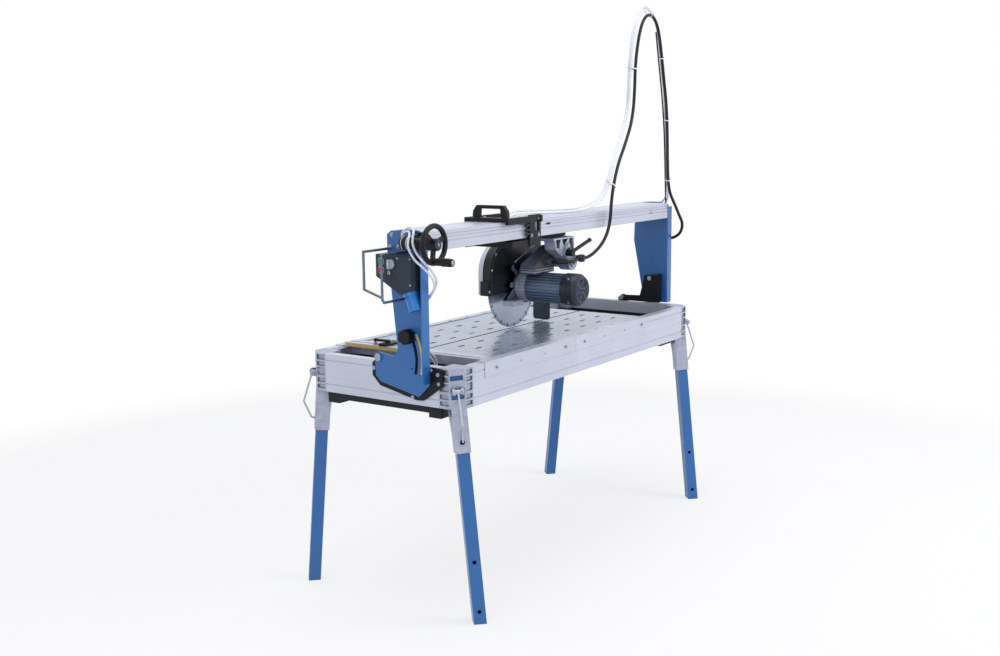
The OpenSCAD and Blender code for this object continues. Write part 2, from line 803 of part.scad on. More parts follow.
module switch_box() {
    wall = 3;
    color(black) difference() {
        along_x(panel_x, box_d) difference() {
            polygon([[-45, 1140], [-187, 1140], [-187, 1038], [-138, 1020], [-45, 1072]]);
        }
        along_x(panel_x + wall, box_d - 2 * wall)
            polygon([[-45 - wall, 1140 - wall], [-187 + wall, 1140 - wall],
                [-187 + wall, 1038 + wall], [-138, 1020 + wall + 1], [-45 - wall, 1072 + wall]]);
        rod_x(panel_x - 1, panel_x + 5, start_at[0], start_at[1], button_r + gap);
        rod_x(panel_x - 1, panel_x + 5, stop_at[0], stop_at[1], button_r + gap);
        rod_x(panel_x - 1, panel_x + 5, select_at[0], select_at[1], 5 + fit);
        block([panel_x - 1, -124, 1070], [panel_x + 1.5, -84, 1134]);
    }
}

module button(at) {
    rod_x(panel_x - 7, panel_x + 10, at[0], at[1], button_r);
    rod_x(panel_x + 10, panel_x + 12, at[0], at[1], button_r + 3);
}

module start_button() {
    color([0.15, 0.6, 0.3]) button(start_at);
}

module stop_button() {
    color([0.8, 0.12, 0.12]) button(stop_at);
}

module selector_knob() {
    color([0.8, 0.8, 0.82]) {
        rod_x(panel_x - 3, panel_x + 8, select_at[0], select_at[1], 5);
        rod_x(panel_x - 6, panel_x + 1.5 - gap, select_at[0], select_at[1], 14);
        block([panel_x - 16, select_at[0] - 4, select_at[1] - 14],
            [panel_x - 6, select_at[0] + 4, select_at[1] + 14]);
    }
}

module power_inlet() {
    lean = 20;
    x = box_x - 26;
    color([0.1, 0.45, 0.85]) translate([x, -157.5, 1027]) rotate([-lean, 0, 0]) difference() {
        union() {
            translate([0, 0, -11]) cylinder(h = 11 - fit, r = 24);
            translate([0, 0, -58]) cylinder(h = 50, r = 21.5);
            translate([0, 0, -20]) cylinder(h = 5, r = 24);
        }
        translate([0, 0, -60]) cylinder(h = 42, r = 18.5);
    }
    color(bright) translate([x, -157.5, 1027]) rotate([-lean, 0, 0])
        for (a = [90, 210, 330]) rotate([0, 0, a]) translate([10, 0, -50])
            cylinder(h = 32 - fit, r = 2.5);
}

module switch_guard() {
    out = box_x - 122;
    r = 4;
    color([0.45, 0.5, 0.55]) {
        bent_bar([[box_x, -127, 1146], [out, -127, 1146], [out, -127, 1014],
            [out + 8, -127, 1004], [box_x, -127, 1004]], r);
        bent_bar([[box_x, -58, 1153], [out, -58, 1153], [out, -58, 1040],
            [out + 2, -127, 1018]], r);
    }
}

// ---------- belt drive ----------
wheel_x = -half_len - 65;
idler_x = half_len - 45;
shaft_r = 8;
wheel_y = -rail_y - 70;
ear_t = 7;
bearing_r = 16;

module drive_housing() {
    color(black) difference() {
        union() {
            block([box_x - 4, belt_y - 21, pulley_z - 27], [box_x, belt_y + 21, pulley_z + 27]);
            for (s = [-1, 1]) translate([0, belt_y + s * 16, 0]) {
                rod_y(-ear_t / 2, ear_t / 2, wheel_x, pulley_z, 18);
                block([wheel_x, -ear_t / 2, pulley_z - 18], [box_x - 2, ear_t / 2, pulley_z + 18]);
            }
            rod_y(wheel_y + 22, belt_y - 16, wheel_x, pulley_z, bearing_r);
        }
        block([box_x - 5, belt_y - belt_w / 2 - 4, pulley_z - pulley_r - belt_t - 3],
            [box_x + 1, belt_y + belt_w / 2 + 4, pulley_z + pulley_r + belt_t + 3]);
        rod_y(wheel_y + 20, belt_y + 40, wheel_x, pulley_z, shaft_r + fit);
    }
}

module drive_pulley() {
    color(bright) {
        rod_y(wheel_y - 12, belt_y + 26, wheel_x, pulley_z, shaft_r);
        rod_y(belt_y - belt_w / 2 - 3, belt_y + belt_w / 2 + 3, wheel_x, pulley_z, pulley_r);
        for (s = [-1, 1]) translate([0, belt_y + s * (belt_w / 2 + 2), 0])
            rod_y(-1.2, 1.2, wheel_x, pulley_z, pulley_r + 3);
    }
}

module idler_pulley() {
    color(bright) difference() {
        union() {
            rod_y(belt_y - belt_w / 2 - 3, belt_y + belt_w / 2 + 3, idler_x, pulley_z, pulley_r);
            for (s = [-1, 1]) translate([0, belt_y + s * (belt_w / 2 + 2), 0])
                rod_y(-1.2, 1.2, idler_x, pulley_z, pulley_r + 3);
        }
        rod_y(belt_y - 40, belt_y + 40, idler_x, pulley_z, 6 + fit);
    }
}

module belt_loop(r) {
    translate([wheel_x, pulley_z - r]) square([idler_x - wheel_x, 2 * r]);
    for (x = [wheel_x, idler_x]) translate([x, pulley_z]) circle(r);
}

// the idler axle is held across the inside of the rail
module drive_belt() {
    color([0.12, 0.12, 0.12]) along_y(belt_y - belt_w / 2, belt_w) difference() {
        belt_loop(pulley_r + belt_t);
        belt_loop(pulley_r + fit);
    }
    color(bright) rod_y(-rail_y + skin, -rail_y + rail_w - skin, idler_x, pulley_z, 6);
}

crank_a = 262;
crank_d = 50;
crank_x = wheel_x + crank_d * cos(crank_a);
crank_z = pulley_z + crank_d * sin(crank_a);
pin_r = 4;

module handwheel() {
    mid = wheel_r - rim_r;
    color(black) {
        union() {
            translate([wheel_x, wheel_y, pulley_z]) rotate([-90, 0, 0])
                rotate_extrude() translate([mid, 0]) circle(rim_r);
            difference() {
                rod_y(wheel_y - 14, wheel_y + 20, wheel_x, pulley_z, 18);
                rod_y(wheel_y - 12 - fit, wheel_y + 21, wheel_x, pulley_z, shaft_r + 0.01);
            }
            for (a = [20, 140, 260]) translate([wheel_x, 0, pulley_z]) rotate([0, -a, 0])
                translate([15, wheel_y - 4, -7]) cube([mid - 15, 9, 14]);
            rod_y(wheel_y - 11 - grip_len + 12, wheel_y, crank_x, crank_z, pin_r);
        }
    }
}

module crank_grip() {
    y1 = wheel_y - 12;
    color(black) difference() {
        union() {
            rod_y(y1 - grip_len, y1, crank_x, crank_z, grip_r - 1);
            rod_y(y1 - grip_len + 6, y1 - 22, crank_x, crank_z, grip_r);
        }
        rod_y(y1 - grip_len + 8, y1 + 1, crank_x, crank_z, pin_r + fit);
    }
}

// ---------- carriage ----------
lift = 1.5;
side_gap = 6;
car_x0 = -402;
car_x1 = -191;
car_low = rail_z - 6;
far_y = -rail_y + rail_w + side_gap;
car_near = -rail_y - side_gap;
clamp_x = -285;
hang_x = 54;
hang_top = rail_z - 18;

module belt_clamp() {
    low = pulley_z - pulley_r - belt_t;
    difference() {
        block([clamp_x - 15, belt_y - 12, car_low - 1], [clamp_x + 15, belt_y + 12, low + 8]);
        block([clamp_x - 16, belt_y - belt_w / 2 - gap, low - gap],
            [clamp_x + 16, belt_y + belt_w / 2 + gap, low + belt_t + gap]);
    }
}

module carriage_frame() {
    color(black) difference() {
        union() {
            block([car_x0, car_near - 16, rail_top + lift], [car_x0 + 24, far_y + 8,
                rail_top + 14]);
            block([car_x0, car_near - 16, rail_top - 8], [car_x1, car_near - 4, rail_top + 14]);
            block([car_x1 - 69, car_near - 8, car_low - 20], [car_x1, car_near, rail_top + 17]);
            block([car_x0, far_y, car_low - 20], [car_x1, far_y + 8, rail_top + 14]);
            block([car_x0 + 42, car_near - 4, car_low - 20], [car_x1, far_y + 4, car_low]);
            block([car_x1 - 10, mid_y - 20, hang_top], [hang_x + 24, far_y + 8, hang_top + 12]);
            belt_clamp();
            // hose manifold
            block([car_x1 - 22, far_y + 6, rail_z + 2], [car_x1, far_y + 32, rail_z + 54]);
        }
        block([car_x1 - 38, car_near - 30, rail_z + 23], [car_x1 - 13, car_near + 1,
            rail_top + 12]);
    }
}

pad_r = 9;

module glide_pads() {
    color([0.85, 0.85, 0.8]) {
        for (y = [mid_y - 4, mid_y + 44]) {
            translate([car_x0 + 12, y, rail_top + gap]) cylinder(h = lift - gap, r = pad_r);
            for (x = [car_x0 + 62, car_x1 - 20]) translate([x, y, car_low])
                cylinder(h = rail_z - car_low - gap, r = pad_r);
        }
        translate([hang_x, mid_y + 35, hang_top + 12])
            cylinder(h = rail_z - hang_top - 12 - gap, r = pad_r);
        for (x = [car_x1 - 55, car_x1 - 12])
            rod_y(car_near, -rail_y - gap, x, rail_z + 12, pad_r);
        for (x = [car_x0 + 30, car_x1 - 20])
            rod_y(-rail_y + rail_w + gap, far_y, x, rail_z + 12, pad_r);
    }
    color(black) for (z = [rail_z + 14, rail_z + 27, rail_z + 44])
        rod_x(car_x1 - 89, car_x1 - 69, car_near - 4, z, 4);
}

module carriage_handle() {
    x = car_x0 + 12;
    y0 = -rail_y - 16;
    y1 = -rail_y + 124;
    z = rail_top + 14;
    h = 41;
    color(black) {
        for (y = [y0 + 14, y1 - 14]) translate([x, y, z]) cylinder(h = 3, r = 12);
        along_x(x - 9, 18) difference() {
            polygon([[y0 + 2, z + 2], [y0 + 26, z + 2], [y0 + 28, z + h - 11],
                [y1 - 28, z + h - 11], [y1 - 26, z + 2], [y1 - 2, z + 2], [y1 - 4, z + h * 0.55],
                [y1 - 18, z + h], [y0 + 18, z + h], [y0 + 4, z + h * 0.55]]);
        }
    }
}

pivot_z = table_z + 241;
hang_y0 = mid_y - 65;
hang_y1 = mid_y - 20;
plunge_r = 10;
lock_x = -49;
lock_z = 38;
lock_r = 5;
hub_r = 30;

module pivot_hanger() {
    deep = hang_y1 - hang_y0;
    color(alloy) difference() {
        union() {
            // curved arm, its hub and the flange under the carriage
            along_y(hang_y0, deep) polygon([[hang_x - 132, hang_top], [hang_x + 8, hang_top],
                [hang_x + 8, pivot_z + 30], [hang_x + 28, pivot_z + 8], [hang_x, pivot_z - 28],
                [hang_x - 28, pivot_z + 8], [hang_x - 60, pivot_z + 20],
                [hang_x - 104, pivot_z + 42], [hang_x - 116, pivot_z + 52],
                [hang_x - 119, pivot_z + 66], [hang_x - 122, pivot_z + 78]]);
            rod_y(hang_y0, hang_y1, hang_x, pivot_z, hub_r);
            block([hang_x - 110, hang_y0, hang_top - 12], [hang_x + 8, hang_y1 + 46, hang_top]);
            // clip that holds the motor cable
            block([hang_x + 20, hang_y0 - 27, pivot_z + 2], [hang_x + 32, hang_y0 + 1,
                pivot_z + 22]);
        }
        rod_x(hang_x + 19, hang_x + 33, -212, 1048, cable_d / 2 + fit);
        rod_y(hang_y0 - 1, hang_y1 + 1, hang_x, pivot_z, plunge_r);
        rod_y(hang_y0 - 1, hang_y1 + 1, hang_x + lock_x, pivot_z + lock_z, lock_r + fit);
        // pockets between the ribs of the casting
        for (y = [hang_y0 - 1, hang_y1 - 15]) along_y(y, 16) {
            polygon([[hang_x - 116, hang_top - 6], [hang_x - 84, hang_top - 6],
                [hang_x - 92, pivot_z + 54], [hang_x - 110, pivot_z + 58]]);
            polygon([[hang_x - 76, hang_top - 6], [hang_x - 34, hang_top - 6],
                [hang_x - 60, pivot_z + 58]]);
            polygon([[hang_x - 24, hang_top - 6], [hang_x, hang_top - 6],
                [hang_x, pivot_z + 44], [hang_x - 30, pivot_z + 60]]);
        }
    }
}

module lock_lever() {
    x = hang_x + lock_x;
    z = pivot_z + lock_z;
    y1 = hang_y0 - 7 - gap;
    color(black) {
        rod_y(y1, hang_y0 + 30, x, z, lock_r);
        rod_y(y1 - 24, y1, x, z, 13);
        bar([x, y1 - 14, z], [x + 138, y1 - 10, z + 34], 6.5);
        translate([x + 138, y1 - 10, z + 34]) sphere(r = 8);
    }
}

// ---------- saw head ----------
axis_z = table_z + axis_rise;
mount_y = -46;
shield_len = 41;
body_y = mount_y - shield_len;
fan_y = body_y - motor_len;
arc_half = 14;

module head_plate() {
    color(alloy) {
        along_y(mount_y, 12) difference() {
            union() {
                translate([head_x, axis_z]) circle(motor_r + 6);
                polygon([[head_x - 20, axis_z + 60], [hang_x - 10, pivot_z + 22],
                    [hang_x + 22, pivot_z], [hang_x, pivot_z - 24], [head_x + 30, axis_z - 50]]);
                translate([hang_x, pivot_z]) circle(24);
            }
            translate([head_x, axis_z]) circle(24);
        }
        // pivot pin and the clamping quadrant on its near end
        rod_y(hang_y1 + gap, mount_y, hang_x, pivot_z, 22);
        rod_y(hang_y0 - 6, hang_y1 + 1, hang_x, pivot_z, plunge_r - fit);
        along_y(hang_y0 - 6.3, 6) difference() {
            union() {
                translate([hang_x, pivot_z]) circle(18);
                polygon([[hang_x + 16, pivot_z + 8], [hang_x - 8, pivot_z - 16],
                    [hang_x - 70, pivot_z + 32], [hang_x - 60, pivot_z + 56],
                    [hang_x - 34, pivot_z + 70]]);
            }
            translate([hang_x, pivot_z])
                arc_slot(norm([lock_x, lock_z]), 2 * lock_r + 2,
                    atan2(lock_z, lock_x) - arc_half, atan2(lock_z, lock_x) + 1);
        }
        // guard stand-offs and the foot under the motor shield
        for (p = [[-60, 70], [60, 60], [-70, 10]])
            rod_y(mount_y + 12, -guard_near_w - fit, head_x + p[0], axis_z + p[1], 7);
        for (p = [[-60, 70], [-70, 10]])
            along_y(mount_y, 12) hull_strip([head_x, axis_z + 20], [head_x + p[0], axis_z + p[1]]);
        block([head_x - 108, mount_y - 34, axis_z - motor_r - 6],
            [head_x - 44, mount_y + 12, axis_z - motor_r + 12]);
        along_y(mount_y, 12) polygon([[head_x - 108, axis_z - motor_r - 6],
            [head_x - 44, axis_z - motor_r - 6], [head_x - 28, axis_z - 28],
            [head_x - 56, axis_z], [head_x - 108, axis_z - motor_r + 12]]);
    }
}

// straight web between two points, drawn flat
module hull_strip(a, b) {
    d = b - a;
    translate(a) rotate(atan2(d[1], d[0])) translate([0, -8]) square([norm(d), 16]);
    translate(b) circle(10);
}

guard_low = table_z + guard_gap;
guard_top = table_z + guard_rise;
shaft_hole = 36;
flap_x = head_x + guard_reach + 17;
flap_top = table_z + guard_gap - 28;

// side view of the guard, inset by the wall; low is where it is cut off
module guard_outline(inset, low) {
    r = guard_round - inset;
    y = guard_top - guard_round;
    intersection() {
        union() {
            for (s = [-1, 1]) translate([head_x + s * (guard_reach - guard_round), y]) circle(r);
            translate([head_x - guard_reach + inset, y - guard_round])
                square([2 * (guard_reach - inset), guard_round]);
            translate([head_x - guard_reach + guard_round, y])
                square([2 * (guard_reach - guard_round), r]);
        }
        translate([head_x - 2 * guard_reach, low]) square(4 * guard_reach);
    }
}

// one half of the guard, from the middle plane to y = -wide
module guard_shell(wide) {
    difference() {
        along_y(-wide, wide - gap / 2) difference() {
            union() {
                guard_outline(0, guard_low);
                translate([flap_x - 46, guard_low - 46]) square([46 - fit, 80]);
            }
            translate([head_x, axis_z]) circle(shaft_hole);
        }
        along_y(-wide + guard_wall, wide) {
            guard_outline(guard_wall, guard_low - 60);
            translate([flap_x - 52, guard_low - 50]) square([49, 60]);
        }
    }
}

// the near half carries the block at its front and the arm beside the blade
module guard_near() {
    front = head_x - guard_reach;
    color(black) difference() {
        union() {
            guard_shell(guard_near_w);
            block([front - 16, -guard_near_w, guard_low], [front + 26, -gap, guard_low + 50]);
            block([head_x + 42, -guard_near_w, guard_low - 50], [flap_x - 20,
                -guard_near_w + 18, guard_low - 26]);
            block([flap_x - 46, -guard_near_w, guard_low - 50], [flap_x - fit,
                -guard_near_w + 18, guard_low]);
        }
        for (i = [0 : 5]) translate([head_x - 138, -guard_near_w - 1, guard_low + 22 + i * 8])
            cube([52, guard_wall + 0.5, 3]);
    }
}

module guard_far() {
    color([0.72, 0.74, 0.78]) difference() {
        scale([1, -1, 1]) guard_shell(guard_far_w);
        // socket for the spray nozzle
        translate([head_x - 30, guard_far_w / 2, guard_top - 30])
            cylinder(h = 60, r = 4 + fit);
    }
    color(bright) translate([head_x - 30, guard_far_w / 2, guard_top - guard_wall - 20]) {
        cylinder(h = guard_wall + 32, r = 4);
    }
}

module splash_flap() {
    color([0.08, 0.2, 0.18]) along_x(flap_x, 4) {
        translate([-37, table_z + 16]) square([74, flap_top - table_z - 16]);
        translate([-25, table_z + 4]) square([50, 13]);
        for (s = [-1, 1]) translate([s * 25, table_z + 16]) circle(12);
    }
}

// round ribbed casting, drawn flat: core radius, rib tip radius, rib width
module ribbed(core, tip, wide) {
    circle(core);
    for (a = [6 : 12 : 354]) rotate(a) translate([core - 2, -wide / 2])
        square([tip - core + 2, wide]);
}

module motor_housing() {
    fin = 5;
    color([0.45, 0.53, 0.62]) along_y(fan_y, motor_len) translate([head_x, axis_z])
        difference() {
            ribbed(motor_r - fin, motor_r, 3);
            circle(motor_r - fin - 6);
        }
    // end shield, with its bearing seat
    color(alloy) difference() {
        union() {
            along_y(body_y, shield_len - 8) translate([head_x, axis_z])
                ribbed(motor_r - 3, motor_r, 4);
            rod_y(mount_y - 8, mount_y - fit, head_x, axis_z, motor_r - 3);
        }
        rod_y(body_y - 1, mount_y - 14, head_x, axis_z, motor_r - 12);
        rod_y(body_y - 1, mount_y + 1, head_x, axis_z, 16);
    }
    // stator ring and the front bearing
    color([0.5, 0.4, 0.3]) difference() {
        rod_y(fan_y + 20, body_y - 15, head_x, axis_z, motor_r - 11 - fit);
        rod_y(fan_y + 19, body_y, head_x, axis_z, 28);
    }
    color(bright) difference() {
        rod_y(mount_y - 13, mount_y - 2, head_x, axis_z, 16 - fit);
        rod_y(mount_y - 14, mount_y, head_x, axis_z, 10 + fit);
    }
}

module fan_cover() {
    r = motor_r + 5;
    color(black) difference() {
        union() {
            rod_y(fan_y - fan_len + 12, fan_y - gap, head_x, axis_z, r);
            translate([head_x, fan_y - fan_len + 12, axis_z]) rotate([90, 0, 0])
                cylinder(h = 12, r1 = r, r2 = r - 10);
        }
        rod_y(fan_y - fan_len + 12, fan_y + 1, head_x, axis_z, r - 3);
        for (k = [0 : 4]) for (s = [-1, 1])
            translate([head_x + s * 21 - 17, fan_y - fan_len - 1, axis_z - 26 + k * 12])
                cube([34, 20, 5]);
    }
}

box_y0 = body_y - 55;
box_y1 = body_y + 9;
lid_y = box_y1 - 30;
gland_x = head_x + 4;
gland_z = axis_z + 92;

module terminal_box() {
    color([0.4, 0.46, 0.52]) difference() {
        along_y(box_y0, box_y1 - box_y0) difference() {
            polygon([[head_x - 62, axis_z + motor_r - 2], [head_x - 62, axis_z + 82],
                [head_x + 36, axis_z + 147], [head_x + 50, axis_z + 147],
                [head_x + 60, axis_z + 138], [head_x + 60, axis_z + motor_r - 2]]);
            translate([head_x, axis_z]) circle(motor_r + gap);
        }
        // the lid slopes down to the guard
        along_x(head_x - 70, 140) polygon([[box_y1 + 1, axis_z + 84], [lid_y, axis_z + 149],
            [box_y1 + 1, axis_z + 149]]);
        along_y(box_y0 + 3, lid_y - box_y0 - 8)
            polygon([[head_x - 58, axis_z + 70], [head_x - 58, axis_z + 80],
                [head_x + 36, axis_z + 143], [head_x + 56, axis_z + 143],
                [head_x + 56, axis_z + 70]]);
        rod_y(box_y0 - 1, box_y0 + 4, gland_x, gland_z, 8);
    }
    // cable gland
    color(black) difference() {
        union() {
            rod_y(box_y0 - 6, box_y0 - fit, gland_x, gland_z, 13);
            rod_y(box_y0 - 28, box_y0 - 6, gland_x, gland_z, 10);
        }
        rod_y(box_y0 - 21, box_y0 + 1, gland_x, gland_z, 5);
        rod_y(box_y0 - 29, box_y0 - 20, gland_x, gland_z, cable_d / 2 + fit);
    }
}

module blade() {
    slots = 21;
    r = blade_d / 2;
    color([0.7, 0.72, 0.76]) along_y(-blade_t / 2, blade_t) difference() {
        translate([head_x, axis_z]) circle(r, $fn = 96);
        translate([head_x, axis_z]) circle(12.7);
        translate([head_x, axis_z]) for (k = [0 : slots - 1]) rotate(k * 360 / slots)
            translate([r - 12, -1.2]) square([14, 2.4]);
    }
}

module motor_shaft() {
    color(bright) {
        rod_y(fan_y - 30, -blade_t / 2 - 5, head_x, axis_z, 10);
        rod_y(-blade_t / 2 - 5, guard_far_w - 5, head_x, axis_z, 12.7 - fit);
        // clamping flanges and the arbor nut
        rod_y(-blade_t / 2 - 5, -blade_t / 2 - 0.01, head_x, axis_z, 34);
        rod_y(blade_t / 2 + 0.01, blade_t / 2 + 5, head_x, axis_z, 34);
        translate([head_x, blade_t / 2 + 5, axis_z]) rotate([-90, 0, 0])
            cylinder(h = 8, r = 20, $fn = 6);
    }
    color([0.5, 0.5, 0.5]) rod_y(fan_y + 20, body_y - 15, head_x, axis_z, 27);
    // cooling fan
    color([0.2, 0.2, 0.2]) {
        rod_y(fan_y - 30, fan_y - 12, head_x, axis_z, 16);
        for (a = [0 : 45 : 315]) translate([head_x, 0, axis_z]) rotate([0, a, 0])
            translate([14, fan_y - 30, -1.5]) cube([30, 18, 3]);
    }
}

// ---------- mast, leads ----------
mast_y = -186;
mast_bend = [[20, -80], [12, -8], [2, 122], [-10, 272], [-30, 402], [-58, 522], [-94, 672]];

module cable_mast() {
    color(black) {
        tube([for (p = mast_bend) [col_rx + p[0], mast_y, rail_top + p[1]]], 6, [0, 1, 0], 2, 12);
        block([col_rx + column_t, near_y + fold_t + gap, rail_z - 36],
            [col_rx + column_t + 38, mast_y + 12, rail_z + 2]);
        // junction box behind the column
        difference() {
            block([col_rx + column_t, -160, 1118], [col_rx + column_t + 36, -104, 1170]);
            translate([col_rx + 24, -130, 1110]) cylinder(h = 20, r = cable_d / 2 + fit);
        }
    }
}

// routes of the free leads, in round numbers
cable_route = [[824, -130, 1128], [824, -130, 1116], [824, -130, 1104], [826, -138, 1080],
    [834, -156, 1064],
    [843, -182, 1060], [848, -208, 1066], [846, -232, 1082], [840, -246, 1106],
    [834, -248, 1132], [828, -238, 1160], [826, -226, 1188], [824, -214, 1214],
    [812, -204, 1250], [798, -202, 1300], [790, -202, 1380], [786, -202, 1460],
    [780, -202, 1540], [768, -202, 1620], [748, -202, 1700], [728, -202, 1780],
    [708, -202, 1850], [686, -203, 1896], [654, -204, 1926], [616, -205, 1938],
    [576, -206, 1926], [544, -207, 1894], [520, -208, 1846], [504, -208, 1790],
    [494, -208, 1730], [490, -208, 1660], [482, -208, 1590], [456, -210, 1520],
    [404, -214, 1448], [346, -218, 1376], [304, -222, 1300], [284, -224, 1236],
    [276, -224, 1180], [262, -222, 1136], [236, -219, 1100], [200, -216, 1074],
    [160, -213, 1056], [128, -212, 1049], [110, -212, 1048], [92, -212, 1048],
    [74.3, -212, 1048]];
tail_route = [[74, -212, 1048], [66, -212, 1048], [56, -213, 1048], [40, -218, 1047],
    [20, -224, 1046], [0, -224, 1045], [-18, -216, 1045], [-34, -203, 1045],
    [-43, -190, gland_z], [gland_x, -178, gland_z], [gland_x, -171, gland_z],
    [gland_x, -164, gland_z]];

// the leads follow the ends of a longer or shorter frame
function stretched(route) = [for (p = route) p[0] > 300 ? p + [spare, 0, 0] : p];

module motor_cable() {
    color(black) tube(stretched(cable_route), cable_d, [0, 1, 0], 2, 10);
}

module cable_tail() {
    color(black) tube(tail_route, cable_d, [0, 0, 1], 2, 10);
}

hose_route = [[801, -85, 1181], [811, -85, 1181], [821, -85, 1181], [836, -90, 1183],
    [848, -104, 1184], [852, -130, 1188],
    [850, -156, 1198], [844, -176, 1220], [832, -186, 1250], [820, -192, 1300],
    [812, -192, 1380], [808, -192, 1460], [800, -192, 1540], [790, -192, 1620],
    [770, -192, 1700], [750, -192, 1780], [730, -192, 1852], [704, -192, 1910],
    [664, -193, 1946], [616, -194, 1958], [568, -196, 1946], [530, -198, 1908],
    [504, -198, 1850], [488, -198, 1790], [478, -198, 1730], [472, -198, 1660],
    [464, -198, 1590], [440, -200, 1524], [392, -204, 1456], [336, -208, 1384],
    [296, -208, 1310], [262, -200, 1256], [212, -184, 1228], [150, -164, 1216],
    [90, -140, 1213], [30, -112, 1213], [-30, -82, 1214], [-90, -58, 1214],
    [-130, -46, 1205], [-156, -40, 1190], [-170, -40, 1186], [-180, -40, 1186],
    [-190.7, -40, 1186]];
hose_step = [0, 9, 9];
hose_tail_route = [[-191, -36, 1160], [-181, -36, 1160], [-171, -36, 1160], [-152, -32, 1163],
    [-130, -20, 1170], [-106, -4, 1174], [-87, 7, 1168], [-80, 9, 1154], [-80, 9, 1142],
    [head_x - 30, guard_far_w / 2, guard_top + 12.3]];
feed_route = [[-808, -120, 1181], [-818, -120, 1181], [-828, -122, 1184], [-842, -134, 1198],
    [-856, -158, 1210], [-872, -182, 1213], [-887, -197, 1206], [-900, -202, 1190],
    [-902, -203, 1172], [-894, -206, 1151], [-881, -214, 1128],
    [-862, -231, 1104], [-844, -236, 1085], [-824, -234, 1065], [-803, -222, 1042],
    [-790, -198, 1015], [-785, -168, 985], [-783, -142, 950], [-783, -126, 905],
    [-781, -117, 862], [-770, -111, 836], [-740, -109, 826], [-704, -106, 814],
    [-670, -103, 792], [-651, -100, 772], [-648, -100, 758], [-648, -100, 750],
    [-648, -100, 741.3]];
feed_turn = [[-798, -120, 1191], [-812, -120, 1191], [-826, -121, 1194], [-836, -131, 1207],
    [-846, -156, 1220], [-860, -184, 1222], [-874, -202, 1216], [-887, -210, 1201],
    [-891, -211, 1183], [-884, -213, 1162], [-871, -219, 1139]];
feed_step = [10, 0, 10];
feed_second = concat(feed_turn, [for (i = [len(feed_turn) : len(feed_route) - 1])
    feed_route[i] + feed_step]);

module arch_hoses() {
    color([0.85, 0.87, 0.9, 0.6]) {
        for (k = [0, 1]) tube([for (p = stretched(hose_route)) p + k * hose_step], hose_d,
            [0, 1, 0], 2, 8);
    }
}

module hose_tail() {
    color([0.85, 0.87, 0.9, 0.6]) tube(hose_tail_route, hose_d, [0, 0, 1], 2, 8);
}

module feed_hoses() {
    color([0.85, 0.87, 0.9, 0.6]) {
        for (route = [feed_route, feed_second])
            tube([for (p = route) p - [spare, 0, 0]], hose_d, [0, 1, 0], 2, 8);
    }
}

// the origin is on the floor, at the middle of the overall length
reach_left = box_x - 122 - 4;
reach_right = col_rx + column_t + 38;

module place() {
    translate([-(reach_left + reach_right) / 2, 0, 0]) children();
}

// ---------- drawing ----------
place() frame_beams();
place() corner_castings();
place() water_tray();
place() tray_rails();
place() drain_plug();
place() water_pump();
place() table_plates();
place() table_bars();
place() side_angles();
place() frame_bolts();
place() pivot_supports();
place() fence_bar();
place() fence_stop();
place() fence_lever();
place() leg(-1, -1, 0);  // leg_near_left
place() leg(-1, 1, 0);  // leg_far_left
place() leg(1, -1, -90);  // leg_near_right
place() leg(1, 1, 0);  // leg_far_right
place() bail(-1, -1);  // bail_near_left
place() bail(-1, 1);  // bail_far_left
place() bail(1, -1);  // bail_near_right
place() bail(1, 1);  // bail_far_right
place() column_left();
place() column_right();
place() bracket_right();
place() rail();
place() tilt_pins();
place() switch_box();
place() power_inlet();
place() switch_guard();
place() cable_mast();
place() drive_housing();
place() drive_belt();
place() handwheel();
place() drive_pulley();
place() crank_grip();
place() idler_pulley();
place() tilt_knob();
place() start_button();
place() stop_button();
place() selector_knob();
place() carriage_frame();
place() glide_pads();
place() carriage_handle();
place() pivot_hanger();
place() lock_lever();
place() head_plate();
place() guard_near();
place() guard_far();
place() splash_flap();
place() motor_housing();
place() fan_cover();
place() terminal_box();
place() blade();
place() motor_shaft();
place() motor_cable();
place() cable_tail();
place() arch_hoses();
place() hose_tail();
place() feed_hoses();
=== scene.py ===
import json
from math import cos, pi, radians, sin

import bmesh
import bpy
from mathutils import Matrix, Vector


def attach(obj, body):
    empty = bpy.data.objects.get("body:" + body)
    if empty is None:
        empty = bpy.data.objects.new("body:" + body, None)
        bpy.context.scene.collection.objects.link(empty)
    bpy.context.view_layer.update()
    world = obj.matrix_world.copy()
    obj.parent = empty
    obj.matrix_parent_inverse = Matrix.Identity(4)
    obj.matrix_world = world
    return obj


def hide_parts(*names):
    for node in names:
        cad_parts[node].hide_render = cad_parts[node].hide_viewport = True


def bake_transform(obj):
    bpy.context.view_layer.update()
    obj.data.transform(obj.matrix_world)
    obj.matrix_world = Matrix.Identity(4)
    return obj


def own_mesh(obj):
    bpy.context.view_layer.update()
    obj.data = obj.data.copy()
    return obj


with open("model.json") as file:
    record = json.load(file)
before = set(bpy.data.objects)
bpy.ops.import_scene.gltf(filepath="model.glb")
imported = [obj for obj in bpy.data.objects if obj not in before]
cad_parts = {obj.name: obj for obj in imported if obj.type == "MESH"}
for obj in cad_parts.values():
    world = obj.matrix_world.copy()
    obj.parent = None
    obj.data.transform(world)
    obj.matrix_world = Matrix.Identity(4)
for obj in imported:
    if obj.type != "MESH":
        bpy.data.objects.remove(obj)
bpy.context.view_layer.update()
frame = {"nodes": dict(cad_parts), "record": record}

SHIFT = 47.25        # mm from the source's drawing origin to the row frame, along X
NODES = frame["nodes"]


def at(x, y, z):
    """A point of the source's drawing, in mm, as a point of the row frame in metres."""
    return Vector(((x + SHIFT) / 1000, y / 1000, z / 1000))


# ---------- camera ----------
CAMERA_AT = Vector((-3.62075, -2.400, 1.503))
YAW, PITCH, ROLL = 0.975, 0.1615, -0.0091
LENS, SENSOR = 43.52, 36.0


